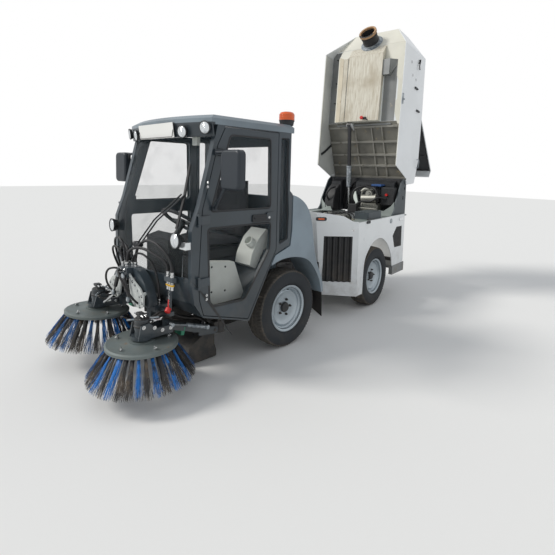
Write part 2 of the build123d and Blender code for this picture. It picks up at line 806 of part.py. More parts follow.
for name, side, bx, by, parked_lift in brushes:
    lift_pin = Pos(0, axle_y + ear_y, arm_pivot_z)
    lifted = lift_pin * Rot(-parked_lift, 0, 0) * lift_pin.inverse()
    with BuildPart() as brush_plate:
        with BuildSketch(Plane.XZ):
            with BuildLine():
                Polyline(
                    (0, 0), (plate_radius - 14, 0), (plate_radius - 6, -12), (plate_radius, -12),
                    (plate_radius, 8), (plate_radius - 12, 14), (90, 18), (90, 26), (shaft_radius, 26),
                    (shaft_radius, 92), (0, 92), close=True,
                )
            make_face()
        revolve(axis=Axis.Z)
        with BuildSketch(Plane.XY.offset(14)):
            with PolarLocations(185, 5):
                RegularPolygon(13, 6)
        extrude(amount=18)
        # Ring of bristles under the plate
        with BuildSketch(Plane.XZ):
            with BuildLine():
                drop = bristle_low - plate_z
                Polyline(
                    (150, 0), (plate_radius - 20, 0), (tip_radius, drop), (235, drop), close=True,
                )
            make_face()
        revolve(axis=Axis.Z)
    write(brush_plate, f"brush_{name}", lifted * Pos(bx, axle_y + by, plate_z))

    with BuildPart() as knuckle:
        with BuildSketch(Plane.XY.offset(arm_pivot_z - 36)):
            with Locations((side * arm_pivot_x, axle_y + arm_pivot_y)):
                Circle(42)
            with Locations((side * arm_pivot_x, axle_y + arm_pivot_y - 40)):
                Rectangle(56, 60)
            with Locations((side * arm_pivot_x, axle_y + arm_pivot_y)):
                Circle(arm_pin + spindle_gap, mode=Mode.SUBTRACT)
        extrude(amount=92)
        with BuildSketch(Plane.YZ.offset(side * arm_pivot_x)):
            with Locations((axle_y + ear_y, arm_pivot_z)):
                Circle(12)
        extrude(amount=48, both=True)
    write(knuckle, f"arm_knuckle_{name}")

    with BuildPart() as brush_arm:
        # Two ears on the lift pin
        for ear in (-1, 1):
            x = side * arm_pivot_x + ear * 38
            with BuildSketch(Plane.YZ.offset(x - 6)):
                with Locations((axle_y + ear_y, arm_pivot_z)):
                    Circle(28)
                with BuildLine():
                    Polyline(
                        (axle_y + ear_y, arm_pivot_z - 28), (axle_y + ear_y, arm_pivot_z + 28),
                        (axle_y + ear_y - 150, arm_pivot_z + 62), (axle_y + ear_y - 150, arm_pivot_z - 8),
                        close=True,
                    )
                make_face()
                with Locations((axle_y + ear_y, arm_pivot_z)):
                    Circle(12 + spindle_gap, mode=Mode.SUBTRACT)
            extrude(amount=12)
        with BuildSketch(Plane.XZ.offset(-(axle_y + ear_y - 80))) as root:
            with Locations((side * arm_pivot_x, arm_pivot_z + 20)):
                Rectangle(88, 50)
        with BuildSketch(Plane.XZ.offset(-(axle_y + by + 200))) as tip_end:
            with Locations((bx, 440)):
                Rectangle(70, 60)
        loft([root.sketch.face(), tip_end.sketch.face()], ruled=True)
        # Head: two cheek plates, the motor and its bracket
        with BuildSketch(Plane.XY.offset(plate_z + 34)):
            with Locations((bx, axle_y + by)):
                Circle(motor_radius)
                Circle(shaft_radius + spindle_gap, mode=Mode.SUBTRACT)
            with Locations((bx, axle_y + by + 130)):
                Rectangle(110, 150)
        extrude(amount=24)
        with BuildSketch(Plane.XY.offset(plate_z + 50)):
            with Locations((bx, axle_y + by)):
                Circle(48)
                Circle(shaft_radius + spindle_gap, mode=Mode.SUBTRACT)
        extrude(amount=60)
        with BuildSketch(Plane.XY.offset(plate_z + 100)):
            with Locations((bx, axle_y + by)):
                Circle(52)
        extrude(amount=70)
        for cheek in (-1, 1):
            with BuildSketch(Plane.YZ.offset(bx + cheek * 62 - 5)):
                with BuildLine():
                    Polyline(
                        *behind([
                            (by - 60, plate_z + 40), (by - 40, plate_z + 140), (by + 20, plate_z + 150),
                            (by + 75, plate_z + 100), (by + 205, plate_z + 96), (by + 205, plate_z + 40),
                        ]), close=True,
                    )
                make_face()
            extrude(amount=10)
    write(brush_arm, f"brush_arm_{name}", lifted)

# Suction mouth between the brushes and the front wheels
mouth_half = 300.0
spigot_radius = 78.0
with BuildPart() as suction_mouth:
    with BuildSketch(Plane.YZ):
        with BuildLine():
            Polyline(
                *behind([
                    (-905, 12), (-905, 60), (-860, 150), (-700, 250), (-648, 286), (-634, 286),
                    (-620, 262), (-620, 120), (-600, 70), (-600, 12),
                ]), close=True,
            )
        make_face()
    extrude(amount=mouth_half, both=True)
    with BuildSketch(Plane.YZ):
        with BuildLine():
            Polyline(*behind([(-897, 0), (-897, 58), (-854, 142), (-696, 240), (-648, 274), (-640, 274),
                              (-628, 256), (-628, 118), (-608, 68), (-608, 0)]), close=True)
        make_face()
    extrude(amount=mouth_half - 8, both=True, mode=Mode.SUBTRACT)
    with BuildSketch(Plane.XZ.offset(-(axle_y - 628))):
        with Locations((0, mouth_pivot_z)):
            Circle(spigot_radius)
            Circle(spigot_radius - 5, mode=Mode.SUBTRACT)
    extrude(amount=-72)
    with BuildSketch(Plane.XZ.offset(-(axle_y - 640))):
        with Locations((0, mouth_pivot_z)):
            Circle(spigot_radius - 5)
    extrude(amount=-30, mode=Mode.SUBTRACT)
    for side in (-1, 1):
        with BuildSketch(Plane.YZ.offset(side * 155 - 6)):
            with BuildLine():
                Polyline(*behind([(-625, 180), (-625, 240), (mouth_pivot_y + 5, mouth_pivot_z + 24),
                                  (mouth_pivot_y + 24, mouth_pivot_z), (mouth_pivot_y, mouth_pivot_z - 24)]),
                         close=True)
            make_face()
        extrude(amount=12)
        with BuildSketch(Plane.YZ.offset(side * 155)):
            with Locations((axle_y + mouth_pivot_y, mouth_pivot_z)):
                Circle(10)
        extrude(amount=side * 24)
write(suction_mouth, "suction_mouth")

# Suction pipes: under the cab on the front module, and up to the hopper on the rear one
pipe_radius = 88.0
pipe_wall = 6.0
swivel_z = 800.0
front_route = behind([
    (-585, mouth_pivot_z), (195, mouth_pivot_z), (285, 295), (285, 625), (350, 690), (508, 690),
    (pivot_back, 755), (pivot_back, swivel_z),
])
rear_route = behind([
    (pivot_back, swivel_z + seat_gap), (pivot_back, 835), (530, 893), (422, 925), (388, 1016),
    (457, 1125),
])
seat_radius = 112.0
with BuildPart() as front_pipe:
    with BuildLine(Plane.YZ) as route:
        Polyline(*front_route)
    with BuildSketch(Plane(origin=route.line @ 0, z_dir=route.line % 0)):
        Circle(pipe_radius)
        Circle(pipe_radius - pipe_wall, mode=Mode.SUBTRACT)
    sweep(transition=Transition.RIGHT)
    with BuildSketch(Plane.XY.offset(rail_high + seat_gap)):
        with Locations((-rail_x, axle_y + 285), (rail_x, axle_y + 285)):
            Rectangle(50, 60)
        with Locations((-165, axle_y + 285), (165, axle_y + 285)):
            Rectangle(160, 40)
    extrude(amount=20)
write(front_pipe, "front_suction_pipe")

with BuildPart() as rear_pipe:
    with BuildLine(Plane.YZ) as route:
        Polyline(*rear_route)
    with BuildSketch(Plane(origin=route.line @ 0, z_dir=route.line % 0)):
        Circle(pipe_radius)
        Circle(pipe_radius - pipe_wall, mode=Mode.SUBTRACT)
    sweep(transition=Transition.RIGHT)
    with BuildSketch(Plane(origin=route.line @ 1, z_dir=-(route.line % 1))):
        Circle(seat_radius)
        Circle(pipe_radius - pipe_wall, mode=Mode.SUBTRACT)
    extrude(amount=14)
    for side in (-1, 1):
        with BuildSketch(Plane.YZ.offset(side * 60 - 4)):
            with BuildLine():
                Polyline(
                    *behind([
                        (702, fork_high + seat_gap), (724, fork_high + seat_gap), (724, 800),
                        (650, 880), (610, 880), (610, 812), (702, 812),
                    ]), close=True,
                )
            make_face()
        extrude(amount=8)
write(rear_pipe, "rear_suction_pipe", steer)

# Rear chassis, straight; its yoke and pin fill the front fork
with BuildPart() as rear_chassis:
    with BuildSketch(Plane.XY.offset(rail_low)):
        with Locations((-rail_x, axle_y + 1470), (rail_x, axle_y + 1470)):
            Rectangle(rail_width, 1460)
    extrude(amount=rail_high - rail_low)
    # across: y centre, depth, half width, low, high
    for y, deep, wide, low, high in (
        (728, 56, rail_x + 30, fork_low, fork_high),
        (1060, 50, rail_x, rail_low + 10, rail_high - 10),
        (2180, 45, rail_x + 30, rail_low, rail_high),
    ):
        with BuildSketch(Plane.XY.offset(low)):
            with Locations((0, axle_y + y)):
                Rectangle(2 * wide, deep)
        extrude(amount=high - low)
    with BuildSketch(Plane.XY.offset(fork_low + fork_plate + seat_gap)):
        with Locations((0, pivot_y)):
            Circle(fork_boss - 6)
        with Locations((0, pivot_y + 65)):
            Rectangle(110, 130)
    extrude(amount=fork_high - fork_low - 2 * fork_plate - 2 * seat_gap)
    with BuildSketch(Plane.XY.offset(fork_low - 8)):
        with Locations((0, pivot_y)):
            Circle(pin_radius)
    extrude(amount=fork_high - fork_low + 16)
    # Outriggers that carry the side panels, and posts under the deck
    for side in (-1, 1):
        for y, z in ((1060, 430), (2180, 430)):
            with BuildSketch(Plane.XY.offset(z)):
                with Locations((side * (rail_x + half - 12.3) / 2, axle_y + y)):
                    Rectangle(half - 12.3 - rail_x, 40)
            extrude(amount=40)
            with BuildSketch(Plane.XY.offset(z)):
                with Locations((side * 540, axle_y + y)):
                    Rectangle(40, 40)
            extrude(amount=1015 - seat_gap - z)
    # Ears of the tipping cylinder
    for x in (-240, -168):
        with BuildSketch(Plane.YZ.offset(x)):
            with BuildLine():
                Polyline(*behind([(2180, 410), (2180, 495), (2300, 482), (2330, 460), (2330, 430), (2300, 418)]),
                         close=True)
            make_face()
        extrude(amount=8)
    with BuildSketch(Plane.YZ.offset(-240)):
        with Locations((axle_y + 2307, 450)):
            Circle(15)
    extrude(amount=80)
write(rear_chassis, "rear_chassis", steer)

# Rear body: side panels, nose, deck with the uprights, tail
deck_high = 1030.0
deck_sheet = 15.0
side_sheet = 12.0
side_outline = [
    (1020, 1035), (1026, 231), (1145, 231), (1170, 580), (1287, 735), (1419, 807), (1605, 821),
    (1793, 734), (1930, 573), (1983, 410), (2310, 410), (2310, 1045),
]
rear_grille = [(2236, 896), (2058, 898), (1949, 793), (2018, 638), (2246, 633)]
with BuildPart() as side_panels:
    for side in (-1, 1):
        with BuildSketch(Plane.YZ.offset(side * half)):
            with BuildLine():
                Polyline(*behind(side_outline), close=True)
            make_face()
            with BuildLine():
                Polyline(*behind(rear_grille), close=True)
            make_face(mode=Mode.SUBTRACT)
        extrude(amount=-side * side_sheet)
write(side_panels, "rear_side_panels", steer)

nose_top = [(600, 1019.7), (264, 707)]
nose_low = [(600, 1019.7), (264, 816)]
nose_sheet = 14.0
nose_foot = 231.0
grille_low = 386.0
grille_high = 886.0


def nose_plan(corners, inset, back, z):
    """The nose's outline at height z: a blunt V through its corners, closed at the back."""
    left = [(x - 1.2 * inset, axle_y + y + inset) for x, y in corners]
    right = [(-x, y) for x, y in reversed(left)]
    if back:
        right += [(right[-1][0], axle_y + back), (left[0][0], axle_y + back)]
    with BuildSketch(Plane.XY) as plan:
        with BuildLine():
            Polyline(*left, *right, close=True)
        make_face()
    return plan.sketch.face().moved(Pos(0, 0, z))


with BuildPart() as nose:
    loft([nose_plan(nose_low, 0, 0, nose_foot), nose_plan(nose_top, 0, 0, deck_high)], ruled=True)
    loft(
        [
            nose_plan(nose_low, nose_sheet, 1080, nose_foot - 1),
            nose_plan(nose_top, nose_sheet, 1080, deck_high - 16),
        ],
        ruled=True, mode=Mode.SUBTRACT,
    )
    with BuildSketch(Plane.XZ.offset(-(axle_y + 900))):
        with Locations((0, 400)):
            Rectangle(540, 400)
    extrude(amount=260, mode=Mode.SUBTRACT)
    for side in (-1, 1):
        window = Plane(
            origin=(side * 440, axle_y + 890, 0), x_dir=(side * 0.8, 0.6, 0), z_dir=(side * 0.6, -0.8, 0)
        )
        with BuildSketch(window):
            with Locations((-10, side * (grille_low + grille_high) / 2)):
                Rectangle(310, grille_high - grille_low)
        extrude(amount=120, both=True, mode=Mode.SUBTRACT)
write(nose, "nose_panel", steer)

wave_pitch = 61.8
with BuildPart() as body_grilles:
    for side in (-1, 1):
        with BuildSketch(Plane.YZ.offset(side * (half - 2))) as grille:
            with BuildLine():
                Polyline(*behind(rear_grille), close=True)
            make_face()
            offset(amount=-seat_gap, kind=Kind.INTERSECTION)
        extrude(amount=-side * 16)
        for slat in range(9):
            with BuildSketch(Plane.YZ.offset(side * (half - 2))):
                with Locations((axle_y + 1985 + slat * 28, 766)):
                    Rectangle(12, 320)
            extrude(amount=-side * 6, mode=Mode.SUBTRACT)
        # Pleated grille in the nose: five waves, each as (along, inwards)
        pleats = Plane(
            origin=(side * 440, axle_y + 890, grille_low + seat_gap), x_dir=(side * 0.8, 0.6, 0),
            z_dir=(0, 0, side),
        )
        front = [
            (seat_gap - 165 + fold * wave_pitch + along, 8 + inwards)
            for fold in range(5)
            for along, inwards in ((0, 0), (14, 22), (31, 22), (45, 0))
        ]
        front.append((145 - seat_gap, 8))
        with BuildSketch(pleats):
            with BuildLine():
                Polyline(*front, (145 - seat_gap, 44), (seat_gap - 165, 44), close=True)
            make_face()
        extrude(amount=side * (grille_high - grille_low - 2 * seat_gap))
write(body_grilles, "body_grilles", steer)

with BuildPart() as deck:
    with BuildSketch(Plane.XY.offset(deck_high - deck_sheet)):
        with Locations((0, axle_y + 1655)):
            Rectangle(2 * (half - side_sheet - seat_gap), 1260)
        with Locations((0, axle_y + 1660)):
            Rectangle(860, 1100, mode=Mode.SUBTRACT)
        with Locations((-200, axle_y + 2200)):
            Rectangle(120, 240, mode=Mode.SUBTRACT)
    extrude(amount=deck_sheet)
    for side in (-1, 1):
        with BuildSketch(Plane.YZ.offset(side * 550 - 6)):
            with BuildLine():
                curve = ThreePointArc(*behind([(1960, deck_high - 5), (2040, 1070), (2090, 1180)]))
                Polyline(
                    curve @ 1,
                    *behind([(2262, 1450), (2330, 1497), (2430, 1497), (2430, deck_high - 5)]),
                    curve @ 0,
                )
            make_face()
            with Locations((axle_y + tip_back, tip_z)):
                Circle(20 + spindle_gap, mode=Mode.SUBTRACT)
            with Locations((axle_y + 2380, 1374), (axle_y + 2336, 1250)):
                Ellipse(16, 26, mode=Mode.SUBTRACT)
        extrude(amount=12)
        with BuildSketch(Plane.XY.offset(deck_high - deck_sheet)):
            with Locations((side * 550, axle_y + 2357)):
                Rectangle(60, 146)
        extrude(amount=deck_sheet)
write(deck, "deck_uprights", steer)

with BuildPart() as tail:
    with BuildSketch(Plane.XZ.offset(-(axle_y + 2310 + seat_gap))):
        with Locations((0, 720)):
            Rectangle(body_width, 588)
        with Locations((-200, 590)):
            Rectangle(120, 340, mode=Mode.SUBTRACT)
        for x in (-380, 380):
            with Locations((x, 780)):
                Rectangle(230, 140, mode=Mode.SUBTRACT)
    extrude(amount=-12)
write(tail, "tail_panel", steer)

with BuildPart() as tail_lamps:
    for x in (-380, 380):
        with BuildSketch(Plane.XZ.offset(-(axle_y + 2313))):
            with Locations((x, 780)):
                RectangleRounded(229, 139, 10)
        extrude(amount=-26)
write(tail_lamps, "tail_lamps", steer)

with BuildPart() as rear_bumper:
    for side in (-1, 1):
        with BuildSketch(Plane.YZ.offset(side * (half - 4))):
            with BuildLine():
                Polyline(*behind([(1995, 290), (1995, 405), (2370, 405), (2370, 290)]), close=True)
            make_face()
        extrude(amount=-side * 46)
    with BuildSketch(Plane.XZ.offset(-(axle_y + 2330))):
        with Locations((0, 347)):
            Rectangle(2 * (half - 4), 115)
    extrude(amount=-40)
    for side in (-1, 1):
        with BuildSketch(Plane.XY.offset(350)):
            with Locations((side * rail_x, axle_y + 2180), (side * rail_x, axle_y + 2265)):
                Rectangle(50, 45)
            with Locations((side * rail_x, axle_y + 2260)):
                Rectangle(50, 200)
        extrude(amount=rail_low - 350 - seat_gap)
write(rear_bumper, "rear_bumper", steer)

with BuildPart() as engine:
    with BuildSketch(Plane.XY.offset(rail_high + seat_gap)):
        with Locations((0, axle_y + 1450)):
            Rectangle(520, 640)
    extrude(amount=480)
    fillet(engine.edges().filter_by(Axis.Z), 20)
write(engine, "engine", steer)

with BuildPart() as air_box:
    with BuildSketch(Plane.XY.offset(deck_high + seat_gap)):
        with Locations((470, axle_y + 1500)):
            RectangleRounded(180, 360, 20)
    extrude(amount=90)
write(air_box, "air_box", steer)

# Hopper, drawn lowered on the uprights and then tipped
hopper_sheet = 6.0
door_hinge = (-806.0, 767.3)
door_open = 47.3
side_wall = [
    (0, 0), (-1530, 0), (-1530, 300), (-1862, 359), (-1862, 703), (-796, 757), (-151, 757), (175, 656),
    (195, 534),
]
body_outline = [
    (-1613, 200), (-1862, 359), (-1862, 703), (-796, 757), (-151, 757), (175, 656), (195, 534),
    (-600, 200),
]
body_inside = [
    (-1611, 206), (-1856, 362), (-1856, 697), (-796, 751), (-790, 900), (300, 900), (300, 584),
    (-601, 206),
]


def corner_plan(inset):
    """Plan of the hopper: square at the back, its front corners cut off."""
    wide = hopper_half - inset
    front = axle_y + hopper_rear - 1862 + inset
    side = axle_y + hopper_rear - 1530 + 0.6 * inset
    return [
        (wide, axle_y + hopper_rear + 400), (wide, side), (315 - inset, front), (inset - 315, front),
        (-wide, side), (-wide, axle_y + hopper_rear + 400),
    ]


with BuildPart() as hopper_shell:
    with BuildSketch(Plane.YZ):
        with BuildLine():
            Polyline(*hopper(body_outline), close=True)
        make_face()
    extrude(amount=hopper_half, both=True)
    with BuildSketch(Plane.XY.offset(sill_z - 50)):
        with BuildLine():
            Polyline(*corner_plan(0), close=True)
        make_face()
    extrude(amount=1000, mode=Mode.INTERSECT)
    with BuildPart(mode=Mode.PRIVATE) as inside:
        with BuildSketch(Plane.YZ):
            with BuildLine():
                Polyline(*hopper(body_inside), close=True)
            make_face()
        extrude(amount=hopper_half - hopper_sheet, both=True)
        with BuildSketch(Plane.XY.offset(sill_z - 50)):
            with BuildLine():
                Polyline(*corner_plan(hopper_sheet), close=True)
            make_face()
        extrude(amount=1200, mode=Mode.INTERSECT)
    add(inside.part, mode=Mode.SUBTRACT)
    # Skirts below the floor, round the cut corners too
    with BuildPart(mode=Mode.PRIVATE) as skirt:
        with BuildSketch(Plane.YZ):
            with BuildLine():
                Polyline(
                    *hopper([(0, 0), (-1530, 0), (-1862, 359), (-1862, 420), (-600, 300), (195, 534)]),
                    close=True,
                )
            make_face()
        extrude(amount=hopper_half, both=True)
        with BuildSketch(Plane.XY.offset(sill_z - 50)):
            with BuildLine():
                Polyline(*corner_plan(0), close=True)
            make_face()
            with BuildLine():
                Polyline(*corner_plan(hopper_sheet), close=True)
            make_face(mode=Mode.SUBTRACT)
        extrude(amount=1000, mode=Mode.INTERSECT)
    add(skirt.part)
    for side in (-1, 1):
        # Pivot pins through the uprights
        with BuildSketch(Plane.YZ.offset(side * hopper_half)):
            with Locations((axle_y + tip_back, tip_z)):
                Circle(20)
        extrude(amount=-side * 55)
        with BuildSketch(Plane.YZ.offset(side * hopper_half)):
            with BuildLine():
                Polyline(
                    (axle_y + tip_back - 60, tip_z - 20), (axle_y + tip_back + 30, tip_z - 30),
                    (axle_y + tip_back + 40, tip_z + 20), (axle_y + tip_back + 20, tip_z + 130),
                    (axle_y + tip_back - 90, tip_z + 90), close=True,
                )
            make_face()
        extrude(amount=-side * 10)
    # Ears of the tipping cylinder's head
    for x in (-236, -172):
        with BuildSketch(Plane.YZ.offset(x)):
            with BuildLine():
                Polyline(*hopper([(-590, 204), (-585, 140), (-564.5, 128), (-540, 140), (-500, 235)]),
                         close=True)
            make_face()
        extrude(amount=8)
    with BuildSketch(Plane.YZ.offset(-236)):
        with Locations(*hopper([(-564.5, 153)])):
            Circle(14)
    extrude(amount=72)
write(hopper_shell, "hopper_shell", tip)

with BuildPart() as hopper_box:
    with BuildSketch(Plane.YZ.offset(-420)):
        with BuildLine():
            Polyline(*hopper([(-1479, 114), (-1610, 200 - seat_gap), (-600, 200 - seat_gap), (-600, 114)]),
                     close=True)
        make_face()
    extrude(amount=640)
write(hopper_box, "hopper_floor_box", tip)

with BuildPart() as hopper_duct:
    duct_plane = Plane(
        origin=(0, axle_y + hopper_rear - 1672 - 0.539 * seat_gap, sill_z + 237.5 - 0.8425 * seat_gap),
        x_dir=(1, 0, 0), z_dir=(0, -0.539, -0.8425),
    )
    with BuildSketch(duct_plane):
        Circle(105)
        Circle(97, mode=Mode.SUBTRACT)
    extrude(amount=172)
    with BuildSketch(duct_plane.offset(160)):
        Circle(118)
        Circle(97, mode=Mode.SUBTRACT)
    extrude(amount=28)
write(hopper_duct, "hopper_duct", tip)

with BuildPart() as hopper_door:
    with BuildSketch(Plane.YZ):
        with BuildLine():
            Polyline(
                *hopper([
                    (-806, 765), (-806, 777), (181, 672), (201, 548), (189, 546), (170, 659),
                ]), close=True,
            )
        make_face()
    extrude(amount=548, both=True)
    with BuildSketch(Plane.YZ):
        with Locations(*hopper([door_hinge])):
            Circle(10)
    extrude(amount=520, both=True)
hinge_at = Pos(0, *hopper([door_hinge])[0])
opened = hinge_at * Rot(door_open, 0, 0) * hinge_at.inverse()
write(hopper_door, "hopper_door", tip * opened)

# Tipping cylinder, as raised: barrel from the hopper, rod up from the chassis
foot_y, foot_z = 2307.0, 450.0
rod_length = 938.0
arm_y = hopper_rear - 564.5 - tip_back
arm_z = sill_z + 153 - tip_z
swing = radians(-tip_rest)
head_y = tip_back + arm_y * cos(swing) - arm_z * sin(swing)
head_z = tip_z + arm_y * sin(swing) + arm_z * cos(swing)
cylinder_run = Vector(0, foot_y - head_y, foot_z - head_z)
down = cylinder_run.normalized()
with BuildPart() as barrel:
    with BuildSketch(Plane(origin=(-200, axle_y + head_y, head_z), x_dir=(1, 0, 0), z_dir=down)):
        Circle(25)
    extrude(amount=860)
    with BuildSketch(Plane.YZ.offset(-226)):
        with Locations((axle_y + head_y, head_z)):
            Circle(32)
    extrude(amount=52)
    with BuildSketch(Plane.YZ.offset(-226)):
        with Locations((axle_y + head_y, head_z)):
            Circle(14 + spindle_gap)
    extrude(amount=52, mode=Mode.SUBTRACT)
    with BuildSketch(Plane(origin=Vector(-200, axle_y + head_y, head_z) + down * 40, x_dir=(1, 0, 0), z_dir=down)):
        Circle(18.4)
    extrude(amount=830, mode=Mode.SUBTRACT)
write(barrel, "tip_barrel", steer)

with BuildPart() as rod:
    with BuildSketch(Plane(origin=Vector(-200, axle_y + foot_y, foot_z), x_dir=(1, 0, 0), z_dir=-down)):
        Circle(18)
    extrude(amount=rod_length)
    with BuildSketch(Plane.YZ.offset(-222)):
        with Locations((axle_y + foot_y, foot_z)):
            Circle(30)
    extrude(amount=44)
    with BuildSketch(Plane.YZ.offset(-222)):
        with Locations((axle_y + foot_y, foot_z)):
            Circle(15 + spindle_gap)
    extrude(amount=44, mode=Mode.SUBTRACT)
write(rod, "tip_rod", steer)
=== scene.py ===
# %% [markdown]
# # A compact road sweeper, finished in Blender
# The CAD model already has every panel, wheel and rod in its place, and MuJoCo turns its joints.
# This lesson loads that model as a fixed frame, gives each part the finish that the real machine
# has, and adds what CAD leaves out: tread, bristles, hoses, lenses, bolts and seals.

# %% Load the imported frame
import bmesh
import bpy
import numpy as np
from math import cos, pi, radians, sin
from mathutils import Matrix


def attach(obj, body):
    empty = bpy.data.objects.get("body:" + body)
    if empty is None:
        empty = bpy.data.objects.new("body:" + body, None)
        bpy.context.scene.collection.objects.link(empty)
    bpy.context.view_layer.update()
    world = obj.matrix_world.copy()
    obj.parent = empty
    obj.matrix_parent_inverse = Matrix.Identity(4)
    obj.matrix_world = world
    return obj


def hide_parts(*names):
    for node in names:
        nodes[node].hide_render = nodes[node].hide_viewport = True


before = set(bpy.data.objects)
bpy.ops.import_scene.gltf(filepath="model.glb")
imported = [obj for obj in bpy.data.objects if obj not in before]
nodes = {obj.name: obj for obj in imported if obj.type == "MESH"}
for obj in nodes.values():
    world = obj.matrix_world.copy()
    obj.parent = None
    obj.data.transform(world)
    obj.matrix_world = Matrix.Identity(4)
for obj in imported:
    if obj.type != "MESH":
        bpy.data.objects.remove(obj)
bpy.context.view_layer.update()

# %% [markdown]
# The sweeper is parked with its rear half steered and its hopper tipped. Pieces on those halves are
# easiest to place on the straight, lowered machine, and are then carried over by one matrix each.
# The numbers are those of the CAD: the centre pivot, and the hopper's pivot on its uprights.

# %% Places of the steered and tipped halves
AXLE_Y, WHEELBASE = -0.888, 1.562
STEER_ANGLE, TIP_ANGLE = 6.59, -94.5
CENTRE_PIVOT = (0, AXLE_Y + 0.573, 0)
HOPPER_PIVOT = (0, AXLE_Y + 2.400, 1.4665)
BASE = np.eye(4)
SIDES = ((1, "left"), (-1, "right"))


def shift(place):
    return np.array(Matrix.Translation(place))


def turn(axis, degrees, about):
    """Matrix that turns points by an angle about an axis through the point given."""
    there = Matrix.Translation(about)
    return np.array(there @ Matrix.Rotation(radians(degrees), 4, axis) @ there.inverted())


STEER = turn("Z", STEER_ANGLE, CENTRE_PIVOT)
TIP = STEER @ turn("X", TIP_ANGLE, HOPPER_PIVOT)
print("hopper pivot", (STEER @ [*HOPPER_PIVOT, 1])[:3].round(3))

# %% [markdown]
# The camera stands where the photographer stood: about 4 m from the left front wheel, at chest
# height, with the wide lens of a telephone. The picture is square, and its upper three quarters
# hold the view, so the lens is shifted downwards and not tilted.

# %% Camera
HEADING, PITCH, ROLL = radians(44.506), radians(5.252), radians(1.461)
CAMERA_PLACE = (2.994, -3.539, 1.575)
level = np.array([-sin(HEADING), cos(HEADING), 0.0])
right = np.array([cos(HEADING), sin(HEADING), 0.0])
up = np.array([0.0, 0.0, 1.0])
looking = cos(PITCH) * level - sin(PITCH) * up
over = cos(PITCH) * up + sin(PITCH) * level
aside = cos(ROLL) * right + sin(ROLL) * over
upward = -sin(ROLL) * right + cos(ROLL) * over
lens = bpy.data.cameras.new("camera")
lens.sensor_width = 36.0
lens.lens = 26.87
lens.shift_y = -0.1252
camera = bpy.data.objects.new("camera", lens)
turned = np.eye(4)
turned[:3, :3] = np.stack([aside, upward, -looking], 1)
turned[:3, 3] = CAMERA_PLACE
camera.matrix_world = Matrix(turned.tolist())
bpy.context.scene.collection.objects.link(camera)
bpy.context.scene.camera = camera
bpy.context.scene.view_settings.view_transform = "Standard"
print("camera", CAMERA_PLACE, "lens", lens.lens)

# %% [markdown]
# Shader maths reads best as plain sums. A `Wire` holds one output of a material's nodes, and the
# usual signs on wires and numbers add the Math nodes. Every other node comes from one method,
# `node`, which takes its type, its settings and what goes into its sockets.

# %% Wires between shader nodes
class Wire:
    """One output socket of a material. Signs on it add Math nodes; node() adds any other node."""

    def __init__(self, tree, socket=None):
        self.tree, self.socket = tree, socket

    def node(self, kind, settings, sockets, out=0):
        made = self.tree.nodes.new("ShaderNode" + kind)
        for name, value in settings.items():
            setattr(made, name, value)
        for name, value in sockets.items():
            if isinstance(value, Wire):
                self.tree.links.new(value.socket, made.inputs[name])
            else:
                made.inputs[name].default_value = value
        return Wire(self.tree, made.outputs[out] if len(made.outputs) else None)

    def maths(self, operation, first, second):
        return self.node("Math", {"operation": operation}, {0: first, 1: second})

    def __add__(self, other):
        return self.maths("ADD", self, other)

    def __mul__(self, other):
        return self.maths("MULTIPLY", self, other)

    def __rsub__(self, other):
        return self.maths("SUBTRACT", other, self)

    __radd__, __rmul__ = __add__, __mul__

    def over(self, low, high):
        """0 below low, 1 above high and a smooth slope between, as Map Range's smooth step gives."""
        settings = {"interpolation_type": "SMOOTHSTEP"}
        return self.node("MapRange", settings, {"Value": self, "From Min": low, "From Max": high})

    def tint(self, below, above):
        """One colour where this wire is 0 and the other where it is 1."""
        sockets = {0: self, 6: below, 7: above}
        return self.node("Mix", {"data_type": "RGBA"}, sockets, out=2)


def blank(kind, name):
    """A new material or world whose nodes are cleared, and its first wire."""
    made = kind.new(name)
    made.use_nodes = True
    made.node_tree.nodes.clear()
    return made, Wire(made.node_tree)


def rgb(red, green, blue):
    """A colour from its 0 to 255 parts as seen on a screen, in the linear numbers that shaders use."""
    seen = np.array([red, green, blue]) / 255
    return (*np.where(seen <= 0.04045, seen / 12.92, ((seen + 0.055) / 1.055) ** 2.4), 1.0)


print("middle grey of the screen in linear numbers", np.round(rgb(128, 128, 128), 3))

# %% [markdown]
# Paint, plastic, rubber and zinc differ in colour and gloss, but outdoors they share three things:
# a slow change of tone, a fine texture, and road dust that thickens towards the ground. One
# function lays these down, and each finish below names its own amounts.

# %% A weathered finish
finishes = {}
DUST = rgb(139, 128, 112)


